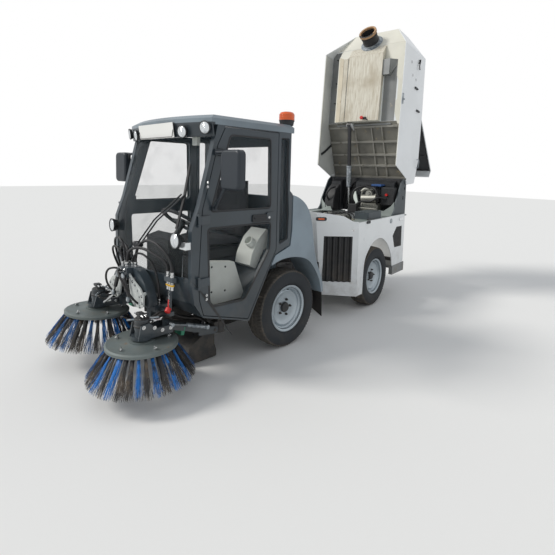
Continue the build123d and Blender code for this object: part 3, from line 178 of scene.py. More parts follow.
def weathered(name, colour, rough, metal=0.0, coat=0.0, tone=0.12, grain=(300, 0.05),
              dust=0.5, high=1.0, spots=None):
    """Principled material: tone noise, grain bump and dust that fades out towards the height given."""
    made, start = blank(bpy.data.materials, name)
    place = start.node("TexCoord", {}, {}, out="Object")
    height = start.node("SeparateXYZ", {}, {"Vector": place}, out="Z")
    slow = start.node("TexNoise", {}, {"Vector": place, "Scale": 2.3, "Detail": 5.0})
    patchy = start.node("TexNoise", {}, {"Vector": place, "Scale": 11.0, "Detail": 8.0, "Roughness": 0.65})
    fine = start.node("TexNoise", {}, {"Vector": place, "Scale": grain[0], "Detail": 2.0})
    dark = tuple(part * (1 - tone) for part in rgb(*colour)[:3]) + (1,)
    light = tuple(min(1, part * (1 + tone)) for part in rgb(*colour)[:3]) + (1,)
    base = slow.over(0.35, 0.65).tint(dark, light)
    if spots:
        *spot_colour, least = spots
        base = patchy.over(least, least + 0.12).tint(base, rgb(*spot_colour))
    lying = (1 - height.over(0.1, high)) * patchy.over(0.3, 0.75) * dust
    base = lying.tint(base, DUST)
    bumped = start.node("Bump", {}, {"Height": fine, "Strength": grain[1], "Distance": 0.002})
    dulled = lying * 0.4 + (patchy * 0.16 + (rough - 0.08))
    shader = start.node("BsdfPrincipled", {}, {
        "Base Color": base, "Roughness": dulled, "Metallic": metal, "Coat Weight": coat,
        "Coat Roughness": 0.12, "Specular IOR Level": 0.5, "Normal": bumped})
    start.node("OutputMaterial", {}, {"Surface": shader})
    finishes[name] = made


print("road dust", np.round(DUST, 3))

# %% [markdown]
# Now each finish of the machine by name: its screen colour and roughness, then what else it needs.
# Spots are a second colour and the noise level where they begin. Screen colours were judged
# from panels in flat light, then evened out. Big panels are gloss enamel with a thin coat.

# %% Paints, plastics, metals and rubber
plain = {
    "cab_grey": ((50, 60, 67), 0.36, dict(coat=0.35, dust=0.16, grain=(420, 0.03))),
    "shell_grey": ((126, 140, 150), 0.42, dict(coat=0.2, dust=0.3, grain=(500, 0.06))),
    "roof_grey": ((118, 130, 138), 0.42, dict(coat=0.2, dust=0.0, grain=(500, 0.06))),
    "white": ((232, 235, 236), 0.3, dict(coat=0.5, tone=0.03, dust=0.4, high=0.9)),
    "cream": ((222, 220, 208), 0.45, dict(tone=0.05, dust=0.25, spots=(150, 138, 112, 0.66))),
    "tyre": ((40, 44, 48), 0.8, dict(dust=0.1, high=0.7, grain=(160, 0.2))),
    # tread: paler brown than the walls, partly road dust and partly a painted highlight
    "tread": ((70, 67, 63), 0.85, dict(tone=0.2, dust=0.2, high=0.9, grain=(160, 0.2),
                                       spots=(88, 82, 75, 0.5))),
    "rim": ((176, 186, 192), 0.3, dict(metal=0.6, tone=0.06, dust=0.12, high=0.7)),
    "chassis": ((44, 45, 47), 0.62, dict(dust=0.32, grain=(140, 0.2))),
    "black_plastic": ((38, 40, 43), 0.55, dict(dust=0.2, grain=(900, 0.12))),
    "grille": ((46, 47, 49), 0.6, dict(dust=0.35, grain=(700, 0.1))),
    "cylinder": ((34, 35, 38), 0.38, dict(coat=0.3, dust=0.3)),
    "seat": ((47, 48, 52), 0.85, dict(dust=0.1, grain=(1400, 0.3))),
    "engine": ((158, 156, 138), 0.5, dict(metal=0.5, high=1.5)),
    "duct": ((36, 37, 39), 0.6, dict(dust=0.35, grain=(200, 0.15))),
    "bumper": ((128, 131, 132), 0.5, {}),
    "hose": ((34, 34, 36), 0.5, dict(dust=0.15, grain=(1500, 0.2))),
    "steel": ((205, 206, 206), 0.2, dict(metal=1.0, tone=0.04, dust=0.1)),
    "amber": ((226, 92, 14), 0.16, dict(coat=0.6, tone=0.05, dust=0.0)),
    "tail_lamp": ((150, 14, 14), 0.15, dict(coat=0.6, tone=0.05, dust=0.1)),
    "mirror_shell": ((34, 41, 48), 0.42, dict(dust=0.0, grain=(500, 0.1))),
    "plate_grey": ((196, 200, 198), 0.45, dict(tone=0.06, dust=0.1, spots=(150, 146, 132, 0.64))),
    "casting": ((172, 172, 164), 0.45, dict(metal=0.55, tone=0.25, dust=0.3, high=1.6)),
    "plate": ((236, 236, 232), 0.35, dict(tone=0.02, dust=0.0, grain=(900, 0.05))),
    "lamp": ((225, 228, 230), 0.14, dict(metal=0.7, coat=0.6, tone=0.05, dust=0.0)),
    "brush": ((54, 54, 56), 0.6, dict(tone=0.4, dust=0.4, high=0.4, grain=(60, 0.3),
                                      spots=(104, 92, 80, 0.52))),
    # brush_blue: its dark navy spots are painted shade between the strands
    "brush_blue": ((26, 108, 180), 0.45, dict(tone=0.4, dust=0.2, high=0.35, grain=(60, 0.3),
                                              spots=(30, 46, 66, 0.50))),
    "brush_disc": ((104, 114, 114), 0.5, dict(metal=0.3, dust=0.3, high=0.8, spots=(120, 96, 74, 0.62))),
    "underside": ((118, 116, 108), 0.62, dict(tone=0.25, dust=0.0, grain=(90, 0.25),
                                              spots=(134, 124, 102, 0.58))),
    "ramp_rib": ((146, 144, 136), 0.6, dict(tone=0.2, dust=0.0, spots=(112, 108, 98, 0.55))),
    "upright_pale": ((148, 156, 152), 0.5, dict(metal=0.2, tone=0.08, dust=0.0)),
    "air_lid": ((44, 84, 142), 0.45, dict(coat=0.2, dust=0.0)),
    "tan": ((210, 200, 178), 0.5, dict(tone=0.1, dust=0.0, spots=(170, 152, 122, 0.6))),
    # inner_skirt: pale grey lifted above the steel's own colour, painted light on the shaded insides of the
    # skirts
    "inner_skirt": ((196, 198, 194), 0.5, dict(dust=0.0)),
    "floor_steel": ((132, 134, 134), 0.55, dict(metal=0.25, tone=0.2, dust=0.0, grain=(120, 0.15),
                                                spots=(166, 158, 138, 0.58))),
    "red": ((206, 30, 26), 0.4, dict(coat=0.3, dust=0.1)),
    "yellow": ((214, 168, 40), 0.4, dict(metal=0.5, dust=0.1)),
    "raw_rim": ((176, 140, 104), 0.5, dict(metal=0.2, tone=0.2, dust=0.0)),
    "green_tape": ((30, 132, 100), 0.5, dict(dust=0.1)),
    "cover": ((214, 218, 212), 0.55, dict(tone=0.06, dust=0.2, high=1.2, grain=(500, 0.1))),
    "mat": ((98, 92, 82), 0.8, dict(tone=0.15, dust=0.0, grain=(300, 0.3))),
    "galvanised": ((150, 156, 160), 0.42, dict(metal=0.75, dust=0.3, high=1.3)),
    "upright": ((74, 82, 86), 0.5, dict(metal=0.3, dust=0.0)),
    "streaked": ((214, 211, 198), 0.5, dict(dust=0.0)),
}
for name, (colour, rough, amounts) in plain.items():
    weathered(name, colour, rough, **amounts)
print("weathered finishes", len(finishes))

# %% [markdown]
# Four finishes get a base colour of their own in place of the plain one. Zinc shows crystals,
# which a Voronoi texture gives. The uprights are dark steel above a paler foot. The underfloor box
# is streaked from top to bottom. The roof's visor is dark below its upper edge. Glass lets light
# through, so it is a material apart: a clear sheet with a film of dirt.

# %% Zinc, uprights, streaks, visor and glass
def inside(name):
    """A finish's first wire, its Object coordinates, its base colour and a way to set a new one."""
    tree = finishes[name].node_tree
    base = next(n for n in tree.nodes if n.type == "BSDF_PRINCIPLED").inputs["Base Color"]
    start = Wire(tree)
    place = start.node("TexCoord", {}, {}, out="Object")
    return start, place, Wire(tree, base.links[0].from_socket), lambda wire: tree.links.new(wire.socket, base)


start, place, _, paint = inside("galvanised")
crystals = start.node("TexVoronoi", {}, {"Vector": place, "Scale": 45.0}, out="Color")
zinc = start.node("SeparateColor", {}, {"Color": crystals}).tint(rgb(122, 130, 136), rgb(178, 184, 188))
worn = start.node("TexNoise", {}, {"Vector": place, "Scale": 6.0, "Detail": 6.0})
paint(worn.over(0.55, 0.75).tint(zinc, rgb(112, 112, 108)))

start, place, dark_steel, paint = inside("upright")
height = start.node("SeparateXYZ", {}, {"Vector": place}, out="Z")
paint(height.over(1.034, 1.044).tint(rgb(138, 146, 143), dark_steel))

start, place, _, paint = inside("streaked")
drawn_out = start.node("Mapping", {}, {"Vector": place, "Scale": (62.0, 62.0, 1.6)})
runs = start.node("TexNoise", {}, {"Vector": drawn_out, "Scale": 1.0, "Detail": 6.0, "Roughness": 0.7})
stains = start.node("TexNoise", {}, {"Vector": place, "Scale": 3.0, "Detail": 7.0})
streaks = runs.over(0.40, 0.66).tint(rgb(214, 210, 196), rgb(186, 177, 158))
paint(stains.over(0.50, 0.78).tint(streaks, rgb(176, 166, 146)))

start, place, roof_base, paint = inside("roof_grey")
height = start.node("SeparateXYZ", {}, {"Vector": place}, out="Z")
fore = start.node("SeparateXYZ", {}, {"Vector": place}, out="Y")
visor = (1 - height.over(1.899, 1.902)) * (1 - fore.over(AXLE_Y - 0.865, AXLE_Y - 0.855))
paint(visor.tint(roof_base, rgb(46, 54, 60)))


finishes["glass"], start = blank(bpy.data.materials, "glass")
place = start.node("TexCoord", {}, {}, out="Object")
film = start.node("TexNoise", {}, {"Vector": place, "Scale": 5.0, "Detail": 7.0})
specks = start.node("TexNoise", {}, {"Vector": place, "Scale": 150.0, "Detail": 2.0})
dirty = film.over(0.45, 0.75) * 0.05 + specks.over(0.70, 0.76) * 0.05
shader = start.node("BsdfPrincipled", {}, {
    "Base Color": dirty.tint(rgb(60, 72, 76), rgb(150, 146, 136)), "Roughness": film * 0.06 + 0.02,
    "Alpha": dirty + 0.07, "IOR": 1.5, "Coat Weight": 0.4, "Coat Roughness": 0.02})
start.node("OutputMaterial", {}, {"Surface": shader})
print("finishes", len(finishes))

# %% [markdown]
# Each CAD node names its slot, so the node's own material slots can be filled in one pass. Five
# nodes look unlike the rest of their slot.

# %% Finishes on the CAD nodes
for node in nodes.values():
    for place_for in node.material_slots:
        place_for.material = finishes[place_for.material.name.split(".")[0]]
OWN_LOOKS = {"mirror_left": "mirror_shell", "mirror_right": "mirror_shell", "deck_uprights": "upright",
             "air_box": "upright", "carrier_plates": "plate_grey"}
for name, finish in OWN_LOOKS.items():
    nodes[name].material_slots[0].material = finishes[finish]
print("nodes finished", len(nodes))

# %% [markdown]
# ## Surfaces from arrays
# A new piece is a grid of points: rings of points along a shape, worked out all at once, and a quad
# for each cell of the grid. A wheel is a profile turned round an axis, and a pipe is a circle
# carried along a path. Whole arrays are worked out at once, so thousands of points take no time.

# %% Grid, lathe and sweep
def surface(grid, wrap=True):
    """Points and quads of a grid (rings x points x 3); the last point of a ring joins the first."""
    rings, across = grid.shape[:2]
    i, j = np.meshgrid(np.arange(rings - 1), np.arange(across if wrap else across - 1), indexing="ij")
    k = (j + 1) % across
    cells = np.stack([i * across + j, i * across + k, (i + 1) * across + k, (i + 1) * across + j], -1)
    return grid.reshape(-1, 3), cells.reshape(-1, 4)


def lathe(profile, steps):
    """Turns (radius, height) pairs about Z: x = r cos t, y = r sin t, with t once round in even steps."""
    r, z = np.array(profile, float).T
    t = np.linspace(0, 2 * pi, steps, endpoint=False)
    return surface(np.stack([r[:, None] * np.cos(t), r[:, None] * np.sin(t), z[:, None] + 0 * t], -1))


def unit(v):
    return v / np.linalg.norm(v, axis=-1, keepdims=True)


def sweep(path, outline, reference=(0, 0, 1)):
    """Carries a closed outline (n x 2) along a path: centre + side * u + rise * v at each point.

    Each end comes twice, once with the outline shrunk to a point, and that closes it."""
    path = np.array(path, float)
    path = np.concatenate([path[:1], path, path[-1:]])
    size = np.ones((len(path), 1, 1))
    size[[0, -1]] = 0
    ahead = np.gradient(path, axis=0)
    ahead[:2], ahead[-2:] = path[2] - path[1], path[-2] - path[-3]
    ahead = unit(ahead)
    side = unit(np.cross(ahead, reference))
    rise = np.cross(side, ahead)
    u, v = np.array(outline, float).T
    return surface(path[:, None] + size * (side[:, None] * u[:, None] + rise[:, None] * v[:, None]))


def smooth(points, steps=8):
    """Catmull-Rom curve through the points. Between b and c it is half of
    2b + (c-a)t + (2a-5b+4c-d)t^2 + (3b-a-3c+d)t^3."""
    p = np.array(points, float)
    p = np.concatenate([2 * p[:1] - p[1:2], p, 2 * p[-1:] - p[-2:-1]])
    a, b, c, d = (p[k:len(p) - 3 + k, None] for k in range(4))
    t = np.linspace(0, 1, steps, endpoint=False)[None, :, None]
    bend, twist = 2 * a - 5 * b + 4 * c - d, 3 * b - a - 3 * c + d
    curve = (2 * b + (c - a) * t + bend * t ** 2 + twist * t ** 3) / 2
    return np.concatenate([curve.reshape(-1, p.shape[1]), p[-2:-1]])


def circle(radius, sides=12):
    t = np.linspace(0, 2 * pi, sides, endpoint=False)
    return np.stack([radius * np.cos(t), radius * np.sin(t)], -1)


def oblong(half_wide, half_tall):
    """The four corners of a rectangle about the origin."""
    return np.array([(-half_wide, -half_tall), (half_wide, -half_tall), (half_wide, half_tall),
                     (-half_wide, half_tall)])


def rod(start, end, radius, sides=12):
    """A round bar between two points, its ends closed."""
    along = np.array(end, float) - np.array(start, float)
    upright = abs(along[2]) > 0.9 * np.linalg.norm(along)
    return sweep([start, end], circle(radius, sides), (0, 1, 0) if upright else (0, 0, 1))


print("a rod has", len(rod((0, 0, 0), (0, 0, 1), 0.1)[1]), "quads")

# %% [markdown]
# Plates and boxes are outlines at a few heights. An edge is eased when its outline is drawn in a
# little at both faces, which a Bevel modifier would do too, but with more points to carry.

# %% Outlines, slabs and blocks
def inset(outline, draw):
    """A closed outline drawn in along its mitres by the amount given."""
    p = np.array(outline, float)
    ahead = unit(np.roll(p, -1, 0) - p)
    out = np.stack([ahead[:, 1], -ahead[:, 0]], -1)
    before = np.roll(out, 1, 0)
    mitre = (out + before) / (1 + (out * before).sum(-1, keepdims=True))
    area = (p[:, 0] * np.roll(p[:, 1], -1) - p[:, 1] * np.roll(p[:, 0], -1)).sum()
    return p - mitre * np.sign(area) * draw


def rounded(points, reach):
    """Each corner becomes a curve: (1-t)^2 a + 2t(1-t) p + t^2 b, with a and b on the corner's sides."""
    p = np.array(points, float)
    a = p + unit(np.roll(p, 1, 0) - p) * reach
    b = p + unit(np.roll(p, -1, 0) - p) * reach
    t = np.linspace(0, 1, 6)[None, :, None]
    return ((1 - t) ** 2 * a[:, None] + 2 * t * (1 - t) * p[:, None] + t ** 2 * b[:, None]).reshape(-1, 2)


def slab(outline, low, high, bevel):
    """A flat outline made thick from low to high in Z, drawn in at both faces by the bevel."""
    levels = [(low, bevel), (low + bevel, 0), (high - bevel, 0), (high, bevel)]
    return surface(np.stack([np.c_[inset(outline, draw), np.full(len(outline), z)] for z, draw in levels]))


def block(low, high, bevel=0.003):
    """A box between two corners with its edges eased."""
    (x0, y0, z0), (x1, y1, z1) = low, high
    return slab([(x0, y0), (x1, y0), (x1, y1), (x0, y1)], z0, z1, bevel)


print("a block has", len(block((0, 0, 0), (1, 1, 1))[1]), "quads before its ends are closed")

# %% [markdown]
# A shape is set down by a matrix, and small parts that repeat are copied by a stack of matrices.
# Their places end up in the mesh itself, so that every object can stay at the origin.

# %% Placing and copying
def moved(shape, matrix):
    return shape[0] @ matrix[:3, :3].T + matrix[:3, 3], shape[1]


def copies(shape, matrices):
    """One shape at many places: every point through every matrix in one product."""
    matrices = np.array(matrices)
    points = np.einsum("kij,nj->kni", matrices[:, :3, :3], shape[0]) + matrices[:, None, :3, 3]
    steps = np.arange(len(matrices))[:, None, None] * len(shape[0])
    return points.reshape(-1, 3), (shape[1][None] + steps).reshape(-1, shape[1].shape[1])


def join(*shapes):
    starts = np.cumsum([0] + [len(points) for points, _ in shapes])
    return (np.concatenate([points for points, _ in shapes]),
            np.concatenate([cells + start for (_, cells), start in zip(shapes, starts)]))


def aim(origin, direction, spin=0.0):
    """Matrix whose Z points along the direction and whose origin is moved to the place given."""
    z = unit(np.array(direction, float))
    x = unit(np.cross((0, 0, 1), z)) if abs(z[2]) < 0.99 else np.array([1.0, 0, 0])
    placed = np.eye(4)
    placed[:3, 0], placed[:3, 1], placed[:3, 2], placed[:3, 3] = x, np.cross(z, x), z, origin
    return placed @ np.array(Matrix.Rotation(spin, 4, "Z"))


def spun(profile, steps, place, direction):
    """A turned shape set down at a place, its axis along the direction."""
    return moved(lathe(profile, steps), aim(place, direction))


pair = join(block((0, 0, 0), (1, 1, 1)), block((1, 0, 0), (2, 1, 1)))
print("two blocks joined have", len(pair[1]), "quads")

# %% [markdown]
# A piece joins its shapes into one mesh, merges doubled points, closes open ends and turns the
# faces outwards. Then it names the body that it rides and the nodes that it replaces.

# %% Pieces and bolts
made_count = {"pieces": 0, "faces": 0}


def piece(name, body, finish, *shapes, place=BASE, sharp=35, stands_for=(), slot=None):
    """Makes a mesh of the shapes, closes open rings, turns faces outwards and lets it ride a body."""
    points, cells = moved(join(*shapes), place)
    mesh = bpy.data.meshes.new(name)
    mesh.from_pydata(points, [], cells.tolist())
    shell = bmesh.new()
    shell.from_mesh(mesh)
    bmesh.ops.remove_doubles(shell, verts=shell.verts, dist=1e-6)
    bmesh.ops.holes_fill(shell, edges=shell.edges, sides=0)
    bmesh.ops.recalc_face_normals(shell, faces=shell.faces)
    shell.to_mesh(mesh)
    shell.free()
    mesh.shade_smooth()
    mesh.set_sharp_from_angle(angle=radians(sharp))
    mesh.materials.append(finishes[finish])
    made = bpy.data.objects.new(name, mesh)
    bpy.context.scene.collection.objects.link(made)
    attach(made, body)
    if stands_for:
        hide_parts(*stands_for)
    made_count["pieces"] += 1
    made_count["faces"] += len(mesh.polygons)
    return made


def bolts(places, direction, radius, tall=0.006):
    """Hexagon heads on washers, one at each place, all facing one way."""
    washer = lathe([(0, 0), (radius * 1.7, 0), (radius * 1.7, 0.0015), (0, 0.0015)], 16)
    head = lathe([(0, 0), (radius, 0), (radius, tall * 0.8), (radius * 0.85, tall), (0, tall)], 6)
    return copies(join(washer, head), [aim(place, direction) for place in places])


print("a bolt has", len(bolts([(0, 0, 0)], (0, 0, 1), 0.01)[1]), "quads")

# %% [markdown]
# The stage is a plain pale floor under soft light. Rays that the camera, a mirror or a lens sends
# see white beyond it, while the object is lit by a dimmer, even sky and one broad sun.

# %% Floor, sky and sun
SUN_FROM = (-0.48, -0.60, 0.64)
FLOOR_HALF = 30
sky, start = blank(bpy.data.worlds, "sky")
seen = start.node("LightPath", {}, {}, out="Is Camera Ray")
bounced = start.node("LightPath", {}, {}, out="Is Glossy Ray")
passed = start.node("LightPath", {}, {}, out="Is Transmission Ray")
direct = start.maths("MAXIMUM", seen, passed)
white = start.node("Background", {}, {"Color": (1, 1, 1, 1), "Strength": 1.0})
even = start.node("Background", {}, {"Color": (0.93, 0.96, 1.0, 1), "Strength": 0.62})
glossy = start.node("Background", {}, {"Color": (0.95, 0.97, 1.0, 1), "Strength": 0.8})
soft = start.node("MixShader", {}, {0: bounced, 1: even, 2: glossy})
both = start.node("MixShader", {}, {0: direct, 1: soft, 2: white})
start.node("OutputWorld", {}, {"Surface": both})
bpy.context.scene.world = sky

lamp = bpy.data.lights.new("sun", "SUN")
lamp.energy = 1.9
lamp.angle = radians(16)
lamp.color = (1.0, 0.97, 0.92)
sun = bpy.data.objects.new("sun", lamp)
sun.matrix_world = Matrix(aim((0, 0, 5), SUN_FROM).tolist())
bpy.context.scene.collection.objects.link(sun)

ground = bpy.data.meshes.new("floor")
ground.from_pydata([(*corner, 0) for corner in oblong(FLOOR_HALF, FLOOR_HALF).tolist()], [], [(0, 1, 2, 3)])
floor = bpy.data.objects.new("floor", ground)
bpy.context.scene.collection.objects.link(floor)
pale, start = blank(bpy.data.materials, "floor")
matt = start.node("BsdfDiffuse", {}, {"Color": (0.82, 0.82, 0.81, 1)})
start.node("OutputMaterial", {}, {"Surface": matt})
ground.materials.append(pale)
print("sun energy", lamp.energy)

# %% [markdown]
# A tyre is one grid: distance across, and angle round. Its radius is the road tyre's profile less
# the tread, which is three rib grooves that weave a little and short slots across the ribs, both
# cut with a smooth step so that their walls lean. The worn tread is 6 mm deep. The grid is cut
# into two closed rings, because the tread is a paler brown than the black walls: partly road
# dust, partly a painted highlight.

# %% Tyres
WHEEL_X, TYRE_RADIUS, BLOCKS = 0.470, 0.348, 72
GROOVES_AT, TREAD_DEEP, TREAD_HALF = (-0.046, 0.0, 0.046), 0.006, 0.083
WHEELS = [(f"{end}_{name}", side, place @ shift((side * WHEEL_X, AXLE_Y + back, TYRE_RADIUS)))
          for end, back, place in (("front", 0.0, BASE), ("rear", WHEELBASE, STEER)) for side, name in SIDES]


def step(value, low, high):
    """0 below low, 1 above high, smooth between: 3s squared less 2s cubed."""
    s = np.clip((value - low) / (high - low), 0, 1)
    return s * s * (3 - 2 * s)


WALL = [(0.0777, 0.1903), (0.0777, 0.212), (0.093, 0.224), (0.1, 0.242), (0.1022, 0.275), (0.1015, 0.287),
        (0.097, 0.309), (0.090, 0.328)]
wall_x, wall_r = np.array(WALL).T
tread_x = np.linspace(-TREAD_HALF, TREAD_HALF, 57)
profile_x = np.concatenate([-wall_x, tread_x, wall_x[::-1]])
profile_r = np.concatenate([wall_r, 0.3475 - 1.05 * tread_x ** 2, wall_r[::-1]])
angle, wide = np.meshgrid(np.linspace(0, 2 * pi, 432, endpoint=False), profile_x, indexing="ij")
off = np.abs(wide)
weave = 0.003 * np.sin(BLOCKS * angle)
grooves = sum(1 - step(np.abs(wide - place - weave), 0.0022, 0.0045) for place in GROOVES_AT)
slots = 1 - step(np.abs((angle * BLOCKS / (2 * pi) + 9 * off) % 1 - 0.5), 0.09, 0.17)
slots = slots * step(np.abs(off - 0.023), 0.006, 0.010) * (off < 0.088)
lugs = step(off, 0.080, 0.084) * (1 - step(off, 0.096, 0.099))
notches = (1 - step(np.abs((angle * BLOCKS / (2 * pi) + 9 * 0.088) % 1 - 0.5), 0.12, 0.2)) * lugs
depth = TREAD_DEEP * np.clip(np.maximum(grooves, slots) * (off < 0.0835) + 0.7 * notches, 0, 1)
ridge = 0.0015 * (np.abs(off - 0.0995) < 0.0008)


def turned_ring(columns, lower=0.0):
    """Points of the profile's columns at every turn, pushed in by lower: x, r cos t, r sin t."""
    r = (profile_r[None] - depth * (lower == 0) + ridge - lower)[:, columns]
    return np.stack([wide[:, columns], r * np.cos(angle[:, columns]), r * np.sin(angle[:, columns])], -1)


def closed_ring(*parts):
    ring = np.concatenate(parts, 1)
    return surface(np.concatenate([ring, ring[:1]]))


first, middle, last = len(WALL) - 1, len(profile_x) // 2, len(profile_x) - len(WALL)
tread_shape = closed_ring(turned_ring(range(first, last + 1)), turned_ring([last, first], 0.010))
wall_shape = closed_ring(turned_ring(range(first + 1)),
                         turned_ring([first, first + 1, middle, last - 1, last], 0.008),
                         turned_ring(range(last, len(profile_x))))
for name, side, centre in WHEELS:
    piece(f"tread_{name}", f"wheel_{name}", "tread", tread_shape, place=centre, sharp=50,
          stands_for=[f"tyre_{name}"])
    piece(f"tyre_wall_{name}", f"wheel_{name}", "tyre", wall_shape, place=centre, sharp=50)
print("tyre quads", len(tread_shape[1]) + len(wall_shape[1]))

# %% [markdown]
# The rim is turned from one profile of (radius, distance out): the rolled lips, the well between
# them and a dished disc. On it go five nuts with washers, a dark cap over the hub and the valve.

# %% Rims, nuts, caps and valves
RIM = [(0.2078, -0.086), (0.2078, -0.078), (0.1900, -0.077), (0.1860, -0.060), (0.1780, -0.052),
       (0.1780, 0.040), (0.1860, 0.050), (0.1900, 0.077), (0.2078, 0.078), (0.2078, 0.0857),
       (0.2050, 0.0860), (0.1965, 0.0840), (0.1880, 0.0790), (0.1855, 0.0700), (0.1845, 0.0580),
       (0.1800, 0.0520), (0.1745, 0.0500), (0.1720, 0.0440), (0.1690, 0.0400), (0.1600, 0.0480),
       (0.1520, 0.0510), (0.1440, 0.0480), (0.1300, 0.0420), (0.1100, 0.0380), (0.0800, 0.0360),
       (0.0560, 0.0360), (0.0500, 0.0345), (0.0301, 0.0345), (0.0301, -0.0600), (0.0620, -0.0600),
       (0.0620, 0.0260), (0.1160, 0.0260), (0.1500, 0.0380), (0.1650, 0.0300), (0.1700, 0.0200),
       (0.1700, -0.0560), (0.1840, -0.0840), (0.2078, -0.0860)]
NUT_CIRCLE, NUT_FACE, CAP_FACE = 0.070, 0.0365, 0.0335
nut = join(lathe([(0, 0), (0.0100, 0), (0.0100, 0.012), (0.008, 0.016), (0, 0.016)], 6),
           lathe([(0, 0.014), (0.005, 0.014), (0.005, 0.021), (0.004, 0.022), (0, 0.022)], 12),
           lathe([(0, 0), (0.0125, 0), (0.0125, 0.002), (0, 0.002)], 16))
for name, side, centre in WHEELS:
    out = (side, 0, 0)
    spots = [(side * NUT_FACE, NUT_CIRCLE * cos(t), NUT_CIRCLE * sin(t)) for t in np.arange(5) * 2 * pi / 5]
    cap = spun([(0, 0), (0.046, 0), (0.046, 0.012), (0.040, 0.022), (0.03, 0.026), (0, 0.027)], 32,
               (side * CAP_FACE, 0, 0), out)
    valve = rod((side * 0.062, 0.0, 0.168), (side * 0.080, 0.0, 0.172), 0.0045, 8)
    piece(f"rim_shape_{name}", f"wheel_{name}", "rim", spun(RIM, 96, (0, 0, 0), out), place=centre,
          stands_for=[f"rim_{name}"])
    piece(f"wheel_nuts_{name}", f"wheel_{name}", "chassis",
          copies(nut, [aim(spot, out) for spot in spots]), place=centre)
    piece(f"hub_cap_{name}", f"wheel_{name}", "black_plastic", cap, valve, place=centre)
print("after wheels", made_count)

# %% [markdown]
# ## Disc brushes
# A brush is a steel disc with tufts stapled under its edge in two rows. Every strand is a thin
# strip that leaves the disc sloping outwards and bends towards the road. All strands are one array:
# strand x point x corner. Seeded random numbers spread each tuft, so every run is the same.

# %% Bristles and discs
LIFTED = turn("X", -4.0, (0, AXLE_Y - 0.712, 0.300))
ARMS = [(1, "left", 400, -1317, BASE), (-1, "right", -345, -1325, LIFTED)]
DISC_HIGH, TUFTS = 0.362, 34


def strands(tufts, per_tuft, seed):
    """Path of a strand: its radius grows evenly from disc to tip, and its height falls as t^1.08."""
    rng = np.random.default_rng(seed)
    tuft = np.repeat(tufts, per_tuft)
    inner = rng.random(len(tuft)) < 0.4
    start_r = np.where(inner, 0.188, 0.226) + rng.normal(0, 0.003, len(tuft))
    start_a = tuft + rng.normal(0, 0.016, len(tuft))
    spread = np.clip(rng.normal(0, 0.052, len(tuft)), -0.13, 0.13)
    tip_r = np.where(inner, 0.312, 0.358) + rng.normal(0, 0.010, len(tuft))
    tip_r = np.clip(tip_r, 0.26, 0.3655)
    tip_z = -0.2285 + rng.random(len(tuft)) ** 2 * 0.03
    t = np.linspace(0, 1, 5)[None]
    r = start_r[:, None] + (tip_r - start_r)[:, None] * t
    z = -0.012 + (tip_z + 0.012)[:, None] * t ** 1.08
    a = start_a[:, None] + spread[:, None] * t ** 1.3
    line = np.stack([r * np.cos(a), r * np.sin(a), z], -1)
    half_width = (0.00115 * (1 - 0.4 * t))[..., None]
    around = np.stack([-np.sin(a), np.cos(a), 0 * a], -1)
    outward = np.stack([np.cos(a), np.sin(a), 0 * a], -1)
    corners = [line + half_width * (around * p + outward * q)
               for p, q in ((1, 0.55), (-1, 0.55), (-1, -0.55), (1, -0.55))]
    grid = np.stack(corners, 2)
    count, rings = grid.shape[:2]
    one = surface(np.zeros((rings, 4, 3)))[1]
    tip = np.array([[(rings - 1) * 4 + k for k in range(4)]])
    cells = np.concatenate([one, tip])[None] + np.arange(count)[:, None, None] * rings * 4
    return grid.reshape(-1, 3), cells.reshape(-1, 4)


tufts = np.arange(TUFTS) * 2 * pi / TUFTS
is_blue = np.isin(np.arange(TUFTS) % 5, (1, 3))
disc = lathe([(0.02, 0.0), (0.231, 0.0), (0.239, -0.012), (0.245, -0.012), (0.2455, 0.006),
              (0.2335, 0.0135), (0.226, 0.0125), (0.20, 0.0105), (0.12, 0.0125), (0.09, 0.018),
              (0.09, 0.026), (0.02, 0.026), (0.02, 0.091), (0.0, 0.091)], 72)
ring = lathe([(0.150, -0.016), (0.238, -0.016), (0.238, -0.0005), (0.150, -0.0005), (0.150, -0.016)], 72)
wing_nut = join(rod((0, 0, 0), (0, 0, 0.022), 0.006, 10),
                block((-0.017, -0.003, 0.008), (0.017, 0.003, 0.018)),
                lathe([(0, 0.0), (0.013, 0.0), (0.013, 0.008), (0, 0.008)], 6))
spots = [(0.185 * cos(t), 0.185 * sin(t), 0.012) for t in np.arange(5) * 2 * pi / 5]
wings = copies(wing_nut, [aim(spot, (0, 0, 1), 0.7 * k) for k, spot in enumerate(spots)])
for number, (_, side, x, back, parked) in enumerate(ARMS):
    centre = parked @ shift((x / 1000, AXLE_Y + back / 1000, DISC_HIGH))
    piece(f"brush_disc_{side}", f"brush_{side}", "brush_disc", disc, place=centre,
          stands_for=[f"brush_{side}"])
    piece(f"brush_ring_{side}", f"brush_{side}", "black_plastic", ring, place=centre)
    piece(f"brush_wing_nuts_{side}", f"brush_{side}", "steel", wings, place=centre)
    piece(f"bristles_black_{side}", f"brush_{side}", "brush", strands(tufts[~is_blue], 78, 7 + number),
          place=centre, sharp=80)
    piece(f"bristles_blue_{side}", f"brush_{side}", "brush_blue", strands(tufts[is_blue], 46, 17 + number),
          place=centre, sharp=80)
print("after brushes", made_count)

# %% [markdown]
# ## The raised hopper
# The tipped hopper shows its underside: a cream front slope with the duct's flange, a cream
# underfloor box with its step and wedge, bare grey floor beside it, and a ribbed ramp of dirty
# steel below. Places are easiest to read in millimetres from the lowered hopper's own corner, so
# a few short functions turn them into the frame's metres, and sheets are made from such points.

# %% Points and sheets of the hopper
OUT_OF_SLOPE, OUT_OF_RAMP = np.array([0, -0.538, -0.843]), np.array([0, 0.387, -0.922])


def at(x, back, high):
    """A point in metres from millimetres: across, behind the front axle and above the ground."""
    return np.array([x, AXLE_Y * 1000 + back, high]) / 1000


def tub(x, back, high):
    """A point of the lowered hopper: across, behind its wall's rear corner, above its lower edge."""
    return at(x, back + 2232, high + 1055)


